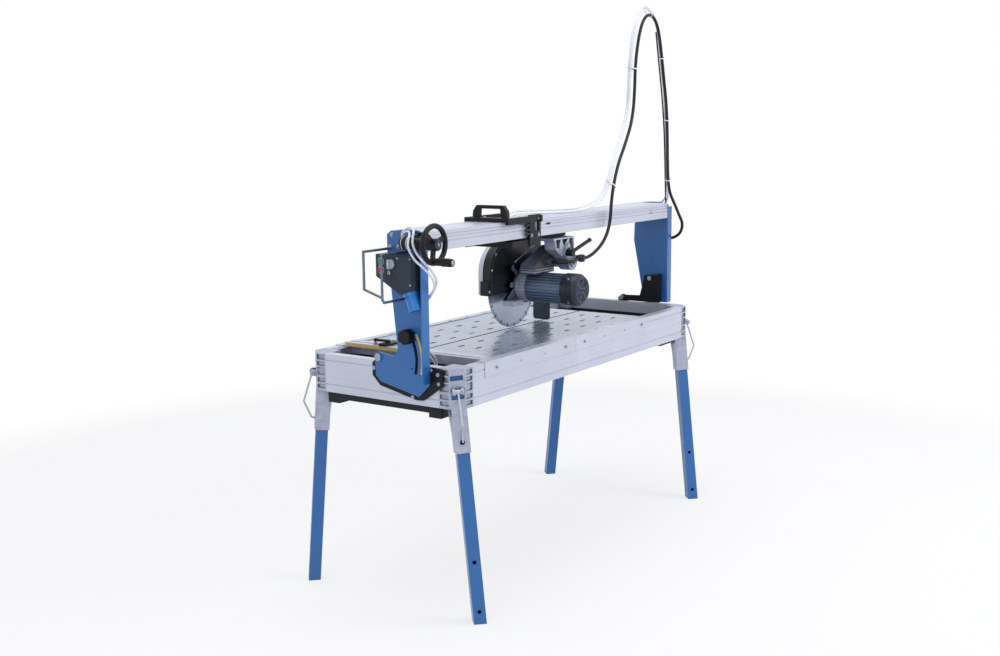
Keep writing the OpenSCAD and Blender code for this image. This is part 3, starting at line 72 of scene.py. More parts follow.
def make_camera():
    ahead = Vector((sin(YAW) * cos(PITCH), cos(YAW) * cos(PITCH), -sin(PITCH)))
    level = Vector((cos(YAW), -sin(YAW), 0))
    upward = level.cross(ahead)
    right = level * cos(ROLL) + upward * sin(ROLL)
    up = upward * cos(ROLL) - level * sin(ROLL)
    data = bpy.data.cameras.new("camera")
    data.lens, data.sensor_width, data.sensor_fit = LENS, SENSOR, "HORIZONTAL"
    data.clip_start, data.clip_end = 0.05, 100
    camera = bpy.data.objects.new("camera", data)
    bpy.context.scene.collection.objects.link(camera)
    turn = Matrix((right, up, -ahead)).transposed().to_4x4()
    camera.matrix_world = Matrix.Translation(CAMERA_AT) @ turn
    bpy.context.scene.camera = camera


make_camera()


# ---------- shapes, all in mm of the source's drawing ----------
def piece(name, bm, material, body=None, sharp=32):
    """Makes an object of the mesh, gives it the material and rides it on the body."""
    bmesh.ops.recalc_face_normals(bm, faces=bm.faces[:])
    mesh = bpy.data.meshes.new(name)
    bm.to_mesh(mesh)
    bm.free()
    mesh.polygons.foreach_set("use_smooth", [True] * len(mesh.polygons))
    mesh.set_sharp_from_angle(angle=radians(sharp))
    obj = bpy.data.objects.new(name, mesh)
    bpy.context.scene.collection.objects.link(obj)
    mesh.materials.append(material)
    if body:
        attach(obj, body)
    return obj


def rounded(bm, faces, width, segments=2, angle=30):
    """Rounds the sharp edges of the faces, by width in mm."""
    edges = {e for f in faces for e in f.edges
             if len(e.link_faces) == 2 and e.calc_face_angle(0) > radians(angle)}
    if width and edges:
        bmesh.ops.bevel(bm, geom=list(edges), offset=width / 1000, segments=segments,
                        affect="EDGES", clamp_overlap=True)


def add_faces(bm, points, faces, width=0.0, segments=2):
    verts = [bm.verts.new(p) for p in points]
    made = [bm.faces.new([verts[i] for i in f]) for f in faces]
    bmesh.ops.recalc_face_normals(bm, faces=made)
    rounded(bm, made, width, segments)


def add_prism(bm, outline, axis, t0, t1, width=0.0, segments=2):
    """An outline extruded along axis 0, 1 or 2 from t0 to t1; its points are the other two."""
    def place(u, v, t):
        return at(t, u, v) if axis == 0 else at(u, t, v) if axis == 1 else at(u, v, t)
    n = len(outline)
    points = [place(u, v, t) for t in (t0, t1) for u, v in outline]
    sides = [(i, (i + 1) % n, n + (i + 1) % n, n + i) for i in range(n)]
    ends = [tuple(range(n - 1, -1, -1)), tuple(range(n, 2 * n))]
    add_faces(bm, points, sides + ends, width, segments)


def add_box(bm, low, high, width=0.0, segments=2):
    (x0, y0, z0), (x1, y1, z1) = low, high
    add_prism(bm, [(x0, y0), (x1, y0), (x1, y1), (x0, y1)], 2, z0, z1, width, segments)


def basis(axis):
    """A rotation whose Z is the given direction."""
    return Vector(axis).normalized().to_track_quat("Z", "Y").to_matrix()


def add_lathe(bm, origin, axis, profile, sides=48, turn=0.0):
    """A profile of (radius, distance along the axis) turned about the axis; mm."""
    frame_of = basis(axis)
    start = at(*origin)
    rings = []
    for r, h in profile:
        if r < 1e-6:
            rings.append([bm.verts.new(start + frame_of @ Vector((0, 0, h / 1000)))])
            continue
        ring = []
        for k in range(sides):
            a = 2 * pi * k / sides + turn
            ring.append(bm.verts.new(start + frame_of @ Vector(
                (r * cos(a) / 1000, r * sin(a) / 1000, h / 1000))))
        rings.append(ring)
    for low, high in zip(rings, rings[1:]):
        if len(low) == len(high) == 1:
            continue
        for k in range(sides):
            j = (k + 1) % sides
            if len(low) == 1:
                bm.faces.new((low[0], high[k], high[j]))
            elif len(high) == 1:
                bm.faces.new((low[k], low[j], high[0]))
            else:
                bm.faces.new((low[k], low[j], high[j], high[k]))


def add_ring(bm, origin, axis, r0, r1, thick, sides=48):
    """A flat ring between two radii, with slightly rounded edges."""
    e = min(0.5, thick / 4)
    add_lathe(bm, origin, axis, [(r0, e), (r0 + e, 0), (r1 - e, 0), (r1, e), (r1, thick - e),
              (r1 - e, thick), (r0 + e, thick), (r0, thick - e), (r0, e)], sides)


def pick(points, i):
    return points[max(0, min(len(points) - 1, i))]


def smooth_path(points, steps):
    """The smooth curve through a route's points."""
    p = [Vector(q) for q in points]
    made = []
    for i in range(len(p) - 1):
        a, b, c, d = pick(p, i - 1), p[i], p[i + 1], pick(p, i + 2)
        for k in range(steps):
            t = k / steps
            made.append(0.5 * (2 * b + (c - a) * t + (2 * a - 5 * b + 4 * c - d) * t * t
                               + (3 * b - a - 3 * c + d) * t ** 3))
    return made + [p[-1]]


def add_tube(bm, path, radius, sides=16):
    """A round tube along points in metres; radius in mm, closed at both ends."""
    side = None
    rings = []
    for i, p in enumerate(path):
        ahead = (pick(path, i + 1) - pick(path, i - 1)).normalized()
        if side is None:
            side = ahead.orthogonal().normalized()
        side = (side - ahead * side.dot(ahead)).normalized()
        up = ahead.cross(side)
        rings.append([bm.verts.new(p + (side * cos(2 * pi * k / sides)
                                        + up * sin(2 * pi * k / sides)) * radius / 1000)
                      for k in range(sides)])
    for low, high in zip(rings, rings[1:]):
        for k in range(sides):
            j = (k + 1) % sides
            bm.faces.new((low[k], low[j], high[j], high[k]))
    bm.faces.new(rings[0][::-1])
    bm.faces.new(rings[-1])


def add_screw(bm, where, axis, r=5.0, high=3.0, kind="hex", washer=0.0):
    """A screw head standing on a face: hex, or a pan head with a cross."""
    base = 0.0
    if washer:
        add_ring(bm, where, axis, r * 0.4, r * 1.45, washer)
        base = washer
    if kind == "hex":
        add_lathe(bm, where, axis, [(0, base), (r * 1.05, base), (r * 1.05, base + high * 0.8),
                  (r * 0.86, base + high), (0, base + high)], 6)
        return
    dome = [(r * cos(a), base + high * sin(a)) for a in (0, 0.35, 0.7, 1.05, 1.3)]
    hub = r * 0.3
    add_lathe(bm, where, axis, [(0, base), *dome, (hub, base + high),
              (hub * 0.7, base + high * 0.5), (0, base + high * 0.4)], 20)


# ---------- materials ----------
def srgb(r, g, b):
    """A colour given as it looks on a screen, 0 to 255."""
    def lin(c):
        c /= 255
        return c / 12.92 if c <= 0.04045 else ((c + 0.055) / 1.055) ** 2.4
    return (lin(r), lin(g), lin(b), 1.0)


def tint(color, k):
    return tuple(min(1.0, c * k) for c in color[:3]) + (1.0,)


class Tree:
    """A short way to write one material's nodes."""

    def __init__(self, name, color, rough, metal=0.0, **sockets):
        self.material = bpy.data.materials.new(name)
        self.material.use_nodes = True
        self.nodes = self.material.node_tree.nodes
        self.links = self.material.node_tree.links
        self.shader = self.nodes["Principled BSDF"]
        self.place = self.node("ShaderNodeTexCoord").outputs["Object"]
        self.color = color
        self.rough = rough
        self.normal = None
        self.set(self.shader, {"Base Color": color, "Roughness": rough, "Metallic": metal,
                               **{k.replace("_", " "): v for k, v in sockets.items()}})

    def set(self, node, values):
        for key, value in values.items():
            socket = node.inputs[key]
            if isinstance(value, bpy.types.NodeSocket):
                self.links.new(value, socket)
            else:
                socket.default_value = value

    def node(self, kind, values=None, **attributes):
        made = self.nodes.new(kind)
        for key, value in attributes.items():
            setattr(made, key, value)
        self.set(made, values or {})
        return made

    def stretched(self, scale, move=(0, 0, 0)):
        return self.node("ShaderNodeMapping", {"Vector": self.place, "Scale": scale,
                                               "Location": move}).outputs[0]

    def noise(self, scale, stretch=None, detail=3.0, rough=0.55):
        where = self.stretched(stretch) if stretch else self.place
        return self.node("ShaderNodeTexNoise", {"Vector": where, "Scale": scale,
                         "Detail": detail, "Roughness": rough}).outputs["Fac"]

    def span(self, value, low, high, to_low=0.0, to_high=1.0):
        return self.node("ShaderNodeMapRange", {"Value": value, "From Min": low, "From Max": high,
                         "To Min": to_low, "To Max": to_high}).outputs[0]

    def math(self, kind, a, b=0.0, clamp=False):
        made = self.node("ShaderNodeMath", operation=kind, use_clamp=clamp)
        for i, value in enumerate((a, b)):
            if isinstance(value, bpy.types.NodeSocket):
                self.links.new(value, made.inputs[i])
            else:
                made.inputs[i].default_value = value
        return made.outputs[0]

    def mix(self, factor, a, b):
        made = self.node("ShaderNodeMix", data_type="RGBA")
        for socket, value in ((made.inputs[0], factor), (made.inputs[6], a), (made.inputs[7], b)):
            if isinstance(value, bpy.types.NodeSocket):
                self.links.new(value, socket)
            else:
                socket.default_value = value
        return made.outputs[2]

    def paint(self, factor, color):
        """Lays a colour over what is there."""
        self.color = self.mix(factor, self.color, color)

    def edges(self, radius, gain):
        """Marks the outer edges, 0 to 1; a smaller gain marks only the sharpest."""
        soft = self.node("ShaderNodeBevel", {"Radius": radius}, samples=4).outputs[0]
        flat = self.node("ShaderNodeNewGeometry").outputs["True Normal"]
        dot = self.node("ShaderNodeVectorMath", operation="DOT_PRODUCT")
        self.links.new(soft, dot.inputs[0])
        self.links.new(flat, dot.inputs[1])
        return self.span(dot.outputs["Value"], 1.0, 1.0 - 1.0 / gain)

    def shade_in_hollows(self, distance):
        """Marks pockets and grooves, 0 to 1, where shade is painted into the colour."""
        open_part = self.node("ShaderNodeAmbientOcclusion", {"Distance": distance},
                              samples=4).outputs["AO"]
        return self.span(open_part, 0.35, 0.85, 1.0, 0.0)

    def round_edges(self, radius=0.0008):
        self.normal = self.node("ShaderNodeBevel", {"Radius": radius}, samples=4).outputs[0]

    def bump(self, height, strength, distance=0.0005):
        values = {"Height": height, "Strength": strength, "Distance": distance}
        if self.normal is not None:
            values["Normal"] = self.normal
        self.normal = self.node("ShaderNodeBump", values).outputs[0]

    def done(self):
        values = {"Base Color": self.color, "Roughness": self.rough}
        if self.normal is not None:
            values["Normal"] = self.normal
        self.set(self.shader, values)
        return self.material


def surface(name, color, rough, metal=0.0, vary=0.08, patch=25.0, streak=None, grain=0.0,
            grain_size=900.0, wear=None, wear_gain=4.0, rough_vary=0.08, soft=0.0008,
            hollow_shade=0.0, **sockets):
    """A material with cloudy colour, streaks, grain, worn edges, rounded corners and painted
    shade in its pockets and grooves.
    """
    t = Tree(name, color, rough, metal, **sockets)
    cloud = t.noise(patch, detail=4.0)
    t.color = t.mix(t.span(cloud, 0.3, 0.7), tint(color, 1 - vary), tint(color, 1 + vary))
    shade = cloud
    if streak:
        stretch, depth = streak
        line = t.noise(1.0, stretch, detail=6.0, rough=0.7)
        t.color = t.mix(t.span(line, 0.35, 0.65, 0.0, depth), t.color, tint(color, 0.6))
        shade = line
    if wear:
        chips = t.span(t.noise(120.0, detail=5.0), 0.42, 0.6)
        mark = t.math("MULTIPLY", t.edges(0.0018, wear_gain), chips, clamp=True)
        t.paint(mark, wear)
    # painted shade: pockets and grooves are darkened towards a dark copy of the colour
    if hollow_shade:
        t.paint(t.math("MULTIPLY", t.shade_in_hollows(0.02), hollow_shade), tint(color, 0.12))
    t.rough = t.span(shade, 0.3, 0.7, rough - rough_vary, rough + rough_vary)
    if soft:
        t.round_edges(soft)
    if grain:
        t.bump(t.noise(grain_size, detail=2.0), grain)
    return t


ALONG = (1.2, 1.2, 420.0)        # fine lines along X and Y alike
DRAWN_X = (1.5, 380.0, 380.0)    # fine lines along X
CAST_EDGE = srgb(226, 228, 238)
M = {}
M["alloy"] = surface("alloy", srgb(200, 204, 220), 0.38, 0.4, 0.06, 6.0,
                     (ALONG, 0.3), 0.05, 1500.0, soft=0.001).done()
# the cast alloy gets painted shade in its pockets and grooves
M["cast_alloy"] = surface("cast_alloy", srgb(168, 174, 194), 0.4, 0.55, 0.16, 45.0, None,
                          0.3, 700.0, CAST_EDGE, soft=0.0018, hollow_shade=0.8).done()
M["blue_paint"] = surface("blue_paint", srgb(34, 100, 168), 0.36, 0.0, 0.05, 7.0, None,
                          0.10, 1800.0, srgb(110, 146, 190), 2.5, Coat_Weight=0.2,
                          Coat_Roughness=0.22).done()
M["black_steel"] = surface("black_steel", srgb(13, 15, 24), 0.42, 0.0, 0.2, 30.0, None,
                           0.18, 1300.0, srgb(46, 50, 62), 2.0, Specular_IOR_Level=0.25).done()
M["black_plastic"] = surface("black_plastic", srgb(10, 12, 20), 0.42, 0.0, 0.2, 40.0, None,
                             0.22, 1600.0, srgb(36, 40, 50), 1.5, Specular_IOR_Level=0.25).done()
M["fan_plastic"] = surface("fan_plastic", srgb(26, 32, 46), 0.36, 0.0, 0.15, 40.0, None,
                           0.22, 1600.0, srgb(84, 98, 118), 2.0, Specular_IOR_Level=0.45).done()
M["grille"] = surface("grille", srgb(70, 82, 102), 0.4, 0.0, 0.15, 60.0, None,
                      0.2, 1600.0).done()
M["box_plastic"] = surface("box_plastic", srgb(38, 50, 64), 0.38, 0.0, 0.08, 30.0, None,
                           0.2, 1500.0, srgb(84, 96, 112), 2.0, Specular_IOR_Level=0.35).done()
M["tray_plastic"] = surface("tray_plastic", srgb(14, 19, 28), 0.5, 0.0, 0.2, 18.0, None,
                            0.25, 500.0, rough_vary=0.15, Specular_IOR_Level=0.3).done()
M["steel"] = surface("steel", srgb(196, 202, 216), 0.26, 0.85, 0.08, 60.0, None,
                     0.12, 1200.0).done()
M["bolt"] = surface("bolt", srgb(150, 158, 174), 0.3, 0.7, 0.2, 90.0, None, 0.2, 1200.0,
                    srgb(232, 234, 240), 2.0, soft=0.0004).done()
M["zinc_wire"] = surface("zinc_wire", srgb(104, 116, 130), 0.36, 0.7, 0.14, 50.0, None,
                         0.3, 600.0).done()
M["bail_wire"] = surface("bail_wire", srgb(176, 182, 194), 0.3, 0.75, 0.12, 50.0, None,
                         0.3, 600.0).done()
M["guard_grey"] = surface("guard_grey", srgb(196, 201, 214), 0.35, 0.2, 0.08, 30.0, None,
                          0.1, 900.0, srgb(226, 228, 234)).done()
M["guard_black"] = surface("guard_black", srgb(8, 11, 19), 0.38, 0.0, 0.25, 22.0, None,
                           0.25, 900.0, srgb(66, 74, 92), 2.5, Specular_IOR_Level=0.35).done()
M["guard_rim"] = surface("guard_rim", srgb(58, 66, 82), 0.32, 0.0, 0.15, 22.0, None,
                         0.2, 900.0).done()
M["flap_rubber"] = surface("flap_rubber", srgb(14, 44, 52), 0.34, 0.0, 0.35, 30.0, None,
                           0.3, 500.0, srgb(60, 96, 104), 2.0).done()
M["belt_rubber"] = surface("belt_rubber", srgb(16, 16, 18), 0.6, 0.0, 0.2, 60.0, None,
                           0.4, 900.0, Specular_IOR_Level=0.3).done()
M["inlet_blue"] = surface("inlet_blue", srgb(24, 118, 200), 0.28, 0.0, 0.05, 40.0, None,
                          0.08, 900.0, srgb(90, 170, 230), 2.0).done()
M["green_cap"] = surface("green_cap", srgb(30, 130, 84), 0.25, 0.0, 0.05, 90.0).done()
M["red_cap"] = surface("red_cap", srgb(180, 34, 42), 0.25, 0.0, 0.05, 90.0).done()
M["pale_cap"] = surface("pale_cap", srgb(182, 190, 200), 0.3, 0.0, 0.05, 90.0).done()
M["cable_black"] = surface("cable_black", srgb(9, 11, 17), 0.46, 0.0, 0.15, 30.0, None,
                           0.15, 900.0, Specular_IOR_Level=0.35).done()
M["orange_tip"] = surface("orange_tip", srgb(214, 74, 36), 0.35, 0.0, 0.1, 80.0).done()
M["tie_white"] = surface("tie_white", srgb(222, 225, 232), 0.4, 0.0, 0.05, 80.0).done()


STUB_Y = -0.2065                 # near end of the pale glide pads
PLATE_END_Y, PLATE_END_X, PLATE_LOW_Z = -0.046, 0.011, 0.911
SHIELD_Y = -0.087                # where the motor's end shield meets its fins


def glide():
    """Pale pads under the carriage; the stubs on its near side are black."""
    t = surface("glide", srgb(205, 206, 204), 0.35, 0.0, 0.05, 60.0)
    y = t.node("ShaderNodeSeparateXYZ", {"Vector": t.place}).outputs["Y"]
    t.paint(t.span(y, STUB_Y - 0.0003, STUB_Y + 0.0003, 1.0, 0.0), srgb(10, 12, 20))
    return t.done()


M["glide"] = glide()


def head_casting():
    """Cast alloy with painted shade in its pockets and grooves; the plate behind the guard is
    black.
    """
    t = surface("head_casting", srgb(168, 174, 194), 0.4, 0.55, 0.16, 45.0, None, 0.3, 700.0,
                CAST_EDGE, soft=0.0018, hollow_shade=0.8)
    place = t.node("ShaderNodeSeparateXYZ", {"Vector": t.place})
    far = t.span(place.outputs["Y"], PLATE_END_Y - 0.0002, PLATE_END_Y + 0.0002)
    left = t.span(place.outputs["X"], PLATE_END_X - 0.001, PLATE_END_X + 0.001, 1.0, 0.0)
    high = t.span(place.outputs["Z"], PLATE_LOW_Z - 0.0005, PLATE_LOW_Z + 0.0005)
    t.paint(t.math("MULTIPLY", t.math("MULTIPLY", far, left), high), srgb(8, 11, 19))
    return t.done()


M["head_casting"] = head_casting()


def clear_hose():
    """Pale plastic tube with painted shade along its rim where it turns away."""
    t = surface("clear_hose", srgb(222, 226, 238), 0.25, 0.0, 0.05, 12.0, None, 0.05, 400.0,
                soft=0.0)
    rim = t.node("ShaderNodeLayerWeight", {"Blend": 0.35}).outputs["Facing"]
    # painted shade: darker towards the silhouette, where the tube turns away
    t.paint(t.span(rim, 0.35, 0.9, 0.0, 0.6), srgb(150, 158, 178))
    return t.done()


def galvanised():
    """Zinc crystals over the sheet, with faint rolling lines."""
    t = Tree("galvanised", srgb(160, 172, 192), 0.3, 0.55)
    cells = t.node("ShaderNodeTexVoronoi", {"Vector": t.place, "Scale": 60.0,
                                            "Randomness": 1.0}).outputs["Color"]
    level = t.node("ShaderNodeSeparateColor", {"Color": cells}).outputs[0]
    broad = t.noise(5.0, detail=3.0)
    t.color = t.mix(level, srgb(150, 163, 184), srgb(158, 171, 192))
    t.paint(t.span(broad, 0.35, 0.7, 0.0, 0.35), srgb(174, 186, 204))
    t.paint(t.span(t.noise(1.0, DRAWN_X, 5.0), 0.45, 0.7, 0.0, 0.15), srgb(116, 128, 148))
    t.rough = t.span(level, 0.0, 1.0, 0.22, 0.3)
    t.round_edges(0.0008)
    return t.done()


def radial(t, centre, axis_keep):
    """Distance from an axis through the centre; axis_keep masks the axis's own direction."""
    off = t.node("ShaderNodeVectorMath", operation="SUBTRACT")
    t.links.new(t.place, off.inputs[0])
    off.inputs[1].default_value = centre
    flat = t.node("ShaderNodeVectorMath", operation="MULTIPLY")
    t.links.new(off.outputs[0], flat.inputs[0])
    flat.inputs[1].default_value = axis_keep
    size = t.node("ShaderNodeVectorMath", operation="LENGTH")
    t.links.new(flat.outputs[0], size.inputs[0])
    return size.outputs["Value"], flat.outputs[0]


HEAD_X, AXIS_Z = -50.0, 953.0    # the blade's and motor's axis, in mm of the drawing
RIM_SLOTS = 21


def blade_steel():
    """Ground steel disc with rings from the grinding, a dull rim and painted shade round the rim
    slots.
    """
    t = Tree("blade_steel", srgb(160, 174, 192), 0.32, 0.7)
    r, flat = radial(t, at(HEAD_X, 0, AXIS_Z), (1, 0, 1))
    rings = t.node("ShaderNodeCombineXYZ", {"X": t.math("MULTIPLY", r, 900.0)}).outputs[0]
    fine = t.node("ShaderNodeTexNoise", {"Vector": rings, "Scale": 1.0,
                                         "Detail": 4.0}).outputs["Fac"]
    t.color = t.mix(fine, srgb(178, 187, 202), srgb(202, 209, 220))
    t.paint(t.span(t.noise(14.0, detail=4.0), 0.45, 0.75, 0.0, 0.25), srgb(186, 195, 210))
    t.paint(t.span(r, 0.1395, 0.1405, 0.0, 0.6), srgb(136, 144, 158))
    parts = t.node("ShaderNodeSeparateXYZ", {"Vector": flat})
    angle = t.math("ARCTAN2", parts.outputs["Z"], parts.outputs["X"])
    turn = t.math("FRACT", t.math("ADD", t.math("MULTIPLY", angle, RIM_SLOTS / (2 * pi)), 0.5))
    near = t.math("ABSOLUTE", t.math("SUBTRACT", turn, 0.5))
    # painted shade: a dark band round each rim slot, wider than the slot itself
    slot = t.math("MULTIPLY", t.span(near, 0.05, 0.075, 1.0, 0.0), t.span(r, 0.1375, 0.1385))
    t.paint(slot, srgb(30, 34, 42))
    t.rough = t.span(fine, 0.2, 0.8, 0.24, 0.38)
    t.bump(t.span(r, 0.138, 0.1405), 0.5, 0.0004)
    return t.done()


def motor_metal():
    """Blue-grey fins behind, a bare cast end shield in front; both get painted shade in their
    hollows.
    """
    t = surface("motor_metal", srgb(112, 132, 162), 0.36, 0.35, 0.1, 40.0, None, 0.3, 700.0,
                srgb(170, 186, 208), 3.0, hollow_shade=0.65)
    y = t.node("ShaderNodeSeparateXYZ", {"Vector": t.place}).outputs["Y"]
    # painted shade: the shield is pale where open and dark grey in its crevices
    pale = t.mix(t.shade_in_hollows(0.006), srgb(208, 212, 224), srgb(60, 64, 76))
    t.paint(t.span(y, SHIELD_Y - 0.0005, SHIELD_Y + 0.0005), pale)
    return t.done()


def box_cover():
    """The wiring box: blue-grey, with the walls that face −Y painted dark brown-grey."""
    t = surface("box_cover", srgb(82, 94, 114), 0.4, 0.0, 0.08, 30.0, None, 0.2, 1200.0,
                srgb(120, 132, 150), 2.0, Specular_IOR_Level=0.4)
    way = t.node("ShaderNodeTexCoord").outputs["Normal"]
    side = t.node("ShaderNodeSeparateXYZ", {"Vector": way}).outputs["Y"]
    # walls whose normal points towards −Y are painted dark brown-grey
    t.paint(t.span(t.math("MULTIPLY", side, -1.0), 0.8, 0.9), srgb(66, 56, 58))
    return t.done()


TILT_Y, TILT_Z = -6.0, 811.0     # the tilt axis, in mm of the drawing


def yellow_scale(name, marks):
    """A pale yellow strip; marks(t) gives where its printed lines are."""
    t = surface(name, srgb(222, 196, 96), 0.45, 0.0, 0.06, 60.0, soft=0.0)
    t.paint(marks(t), srgb(40, 38, 36))
    return t.done()


def ruler_marks(t):
    """Lines every 5 mm along Y."""
    y = t.node("ShaderNodeSeparateXYZ", {"Vector": t.place}).outputs["Y"]
    step = t.math("FRACT", t.math("MULTIPLY", y, 200.0))
    return t.math("MULTIPLY", t.math("LESS_THAN", step, 0.16), 0.8)


def angle_marks(t):
    """Lines every degree round the tilt axis."""
    parts = t.node("ShaderNodeSeparateXYZ", {"Vector": t.place})
    y = t.math("SUBTRACT", parts.outputs["Y"], TILT_Y / 1000)
    z = t.math("SUBTRACT", parts.outputs["Z"], TILT_Z / 1000)
    step = t.math("FRACT", t.math("MULTIPLY", t.math("ARCTAN2", z, y), 180 / pi))
    return t.math("MULTIPLY", t.math("LESS_THAN", step, 0.2), 0.75)


M["clear_hose"] = clear_hose()
M["galvanised"] = galvanised()
M["blade_steel"] = blade_steel()
M["motor_metal"] = motor_metal()
M["box_cover"] = box_cover()
M["ruler"] = yellow_scale("ruler", ruler_marks)
M["angle_scale"] = yellow_scale("angle_scale", angle_marks)

SPECIAL = {"head_plate": "head_casting", "frame_bolts": "bolt", "tilt_pins": "bolt",
           "blade": "blade_steel", "motor_housing": "motor_metal", "switch_box": "box_plastic",
           "start_button": "green_cap", "stop_button": "red_cap"}
SLOTS = {row["node"]: row["material_slot"] for row in frame["record"]["subparts"]}
for name, obj in NODES.items():
    key = SPECIAL.get(name, SLOTS[name])
    key = "bail_wire" if name.startswith("bail_") else key
    key = "motor_metal" if key == "motor_paint" else key
    for index in range(len(obj.material_slots)):
        obj.material_slots[index].material = M[key]


# ---------- cords and hoses ----------
CABLE_R, HOSE_R = 6.0, 3.5
CABLE_ROUTE = [
    (824, -130, 1128), (824, -130, 1116), (824, -130, 1104), (826, -138, 1080), (834, -156, 1064),
    (843, -182, 1060), (848, -208, 1066), (846, -232, 1082), (840, -246, 1106), (834, -248, 1132),
    (828, -238, 1160), (826, -226, 1188), (824, -214, 1214), (812, -204, 1250), (798, -202, 1300),
    (790, -202, 1380), (786, -202, 1460), (780, -202, 1540), (768, -202, 1620), (748, -202, 1700),
    (728, -202, 1780), (708, -202, 1850), (686, -203, 1896), (654, -204, 1926), (616, -205, 1938),
    (576, -206, 1926), (544, -207, 1894), (520, -208, 1846), (504, -208, 1790), (494, -208, 1730),
    (490, -208, 1660), (482, -208, 1590), (456, -210, 1520), (404, -214, 1448), (346, -218, 1376),
    (304, -222, 1300), (284, -224, 1236), (276, -224, 1180), (262, -222, 1136), (236, -219, 1100),
    (200, -216, 1074), (160, -213, 1056), (128, -212, 1049), (110, -212, 1048), (92, -212, 1048),
    (74.3, -212, 1048)]
TAIL_ROUTE = [
    (74, -212, 1048), (66, -212, 1048), (56, -213, 1048), (40, -218, 1047), (20, -224, 1046),
    (0, -224, 1045), (-18, -216, 1045), (-34, -203, 1045), (-43, -190, 1045), (-46, -178, 1045),
    (-46, -171, 1045), (-46, -164, 1045)]
HOSE_ROUTE = [
    (801, -85, 1181), (811, -85, 1181), (821, -85, 1181), (836, -90, 1183), (848, -104, 1184),
    (852, -130, 1188), (850, -156, 1198), (844, -176, 1220), (832, -186, 1250), (820, -192, 1300),
    (812, -192, 1380), (808, -192, 1460), (800, -192, 1540), (790, -192, 1620), (770, -192, 1700),
    (750, -192, 1780), (730, -192, 1852), (704, -192, 1910), (664, -193, 1946), (616, -194, 1958),
    (568, -196, 1946), (530, -198, 1908), (504, -198, 1850), (488, -198, 1790), (478, -198, 1730),
    (472, -198, 1660), (464, -198, 1590), (440, -200, 1524), (392, -204, 1456), (336, -208, 1384),
    (296, -208, 1310), (262, -200, 1256), (212, -184, 1228), (150, -164, 1216), (90, -140, 1213),
    (30, -112, 1213), (-30, -82, 1214), (-90, -58, 1214), (-130, -46, 1205), (-156, -40, 1190),
    (-170, -40, 1186), (-180, -40, 1186), (-190.7, -40, 1186)]
HOSE_STEP = (0, 9, 9)
HOSE_TAIL_ROUTE = [
    (-191, -36, 1160), (-181, -36, 1160), (-171, -36, 1160), (-152, -32, 1163), (-130, -20, 1170),
    (-106, -4, 1174), (-87, 7, 1168), (-80, 9, 1154), (-80, 9, 1142), (-80, 9, 1129.3)]
FEED_ROUTE = [
    (-808, -120, 1181), (-818, -120, 1181), (-828, -122, 1184), (-842, -134, 1198),
    (-856, -158, 1210), (-872, -182, 1213), (-887, -197, 1206), (-900, -202, 1190),
    (-902, -203, 1172), (-894, -206, 1151), (-881, -214, 1128), (-862, -231, 1104),
    (-844, -236, 1085), (-824, -234, 1065), (-803, -222, 1042), (-790, -198, 1015),
    (-785, -168, 985), (-783, -142, 950), (-783, -126, 905), (-781, -117, 862), (-770, -111, 836),
    (-740, -109, 826), (-704, -106, 814), (-670, -103, 792), (-651, -100, 772), (-648, -100, 758),
    (-648, -100, 750), (-648, -100, 741.3)]
FEED_TURN = [
    (-798, -120, 1191), (-812, -120, 1191), (-826, -121, 1194), (-836, -131, 1207),
    (-846, -156, 1220), (-860, -184, 1222), (-874, -202, 1216), (-887, -210, 1201),
    (-891, -211, 1183), (-884, -213, 1162), (-871, -219, 1139)]
FEED_SECOND = FEED_TURN + [(x + 10, y, z + 10) for x, y, z in FEED_ROUTE[len(FEED_TURN):]]


def lead(name, route, radius, material, node,
         step=(0, 0, 0)):
    """One lead along a route, as a tube; the CAD node it stands for is hidden."""
    points = [at(x + step[0], y + step[1], z + step[2]) for x, y, z in route]
    path = smooth_path(points, 5)
    bm = bmesh.new()
    add_tube(bm, path, radius)
    obj = piece(name, bm, material)
    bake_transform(obj)
    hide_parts(node)
    return obj


lead("motor_lead", CABLE_ROUTE, CABLE_R, M["cable_black"], "motor_cable")
lead("motor_lead_end", TAIL_ROUTE, CABLE_R, M["cable_black"], "cable_tail")
for k, step in enumerate(((0, 0, 0), HOSE_STEP)):
    lead(f"arch_hose_{k + 1}", HOSE_ROUTE, HOSE_R, M["clear_hose"], "arch_hoses",
         step)
lead("spray_hose", HOSE_TAIL_ROUTE, HOSE_R, M["clear_hose"], "hose_tail")
for k, (route, length) in enumerate(((FEED_ROUTE, 0.7566), (FEED_SECOND, 0.7618))):
    lead(f"feed_hose_{k + 1}", route, HOSE_R, M["clear_hose"], "feed_hoses")


# ---------- details on the machine ----------
PULLEY_Z = 1178.0
PLATE_X, PANEL_X, WHEEL_X = -811.5, -861.5, -865.0
GUARD_Y, GUARD_TOP, FLAP_X = -32.0, 1117.0, 150.0
GUARD_LOW, GUARD_REACH, GUARD_ROUND = 937.0, 183, 107
FAN_Y, FAN_MID_Y, FAN_R = -233.0, -262, 57
CRANK_X = WHEEL_X + 50 * cos(radians(262))
CRANK_Z = PULLEY_Z + 50 * sin(radians(262))
LEFT, NEAR, UP = (-1, 0, 0), (0, -1, 0), (0, 0, 1)


def details(name, material, body, build, sharp=32):
    """One piece whose mesh is made by build(bm)."""
    bm = bmesh.new()
    build(bm)
    return piece(name, bm, material, body, sharp)


def screws(name, body, *rows):
    """One piece of like screws; a row is (places, axis, radius, height, kind, washer)."""
    def build(bm):
        for places, *form in rows:
            for where in places:
                add_screw(bm, where, *form)
    return details(name, M["bolt"], body, build)


def arc(cy, cz, r, a0, a1, steps):
    """Points from angle a0 to a1, in degrees."""
    return [(cy + r * cos(radians(a0 + (a1 - a0) * k / steps)),
             cz + r * sin(radians(a0 + (a1 - a0) * k / steps))) for k in range(steps + 1)]


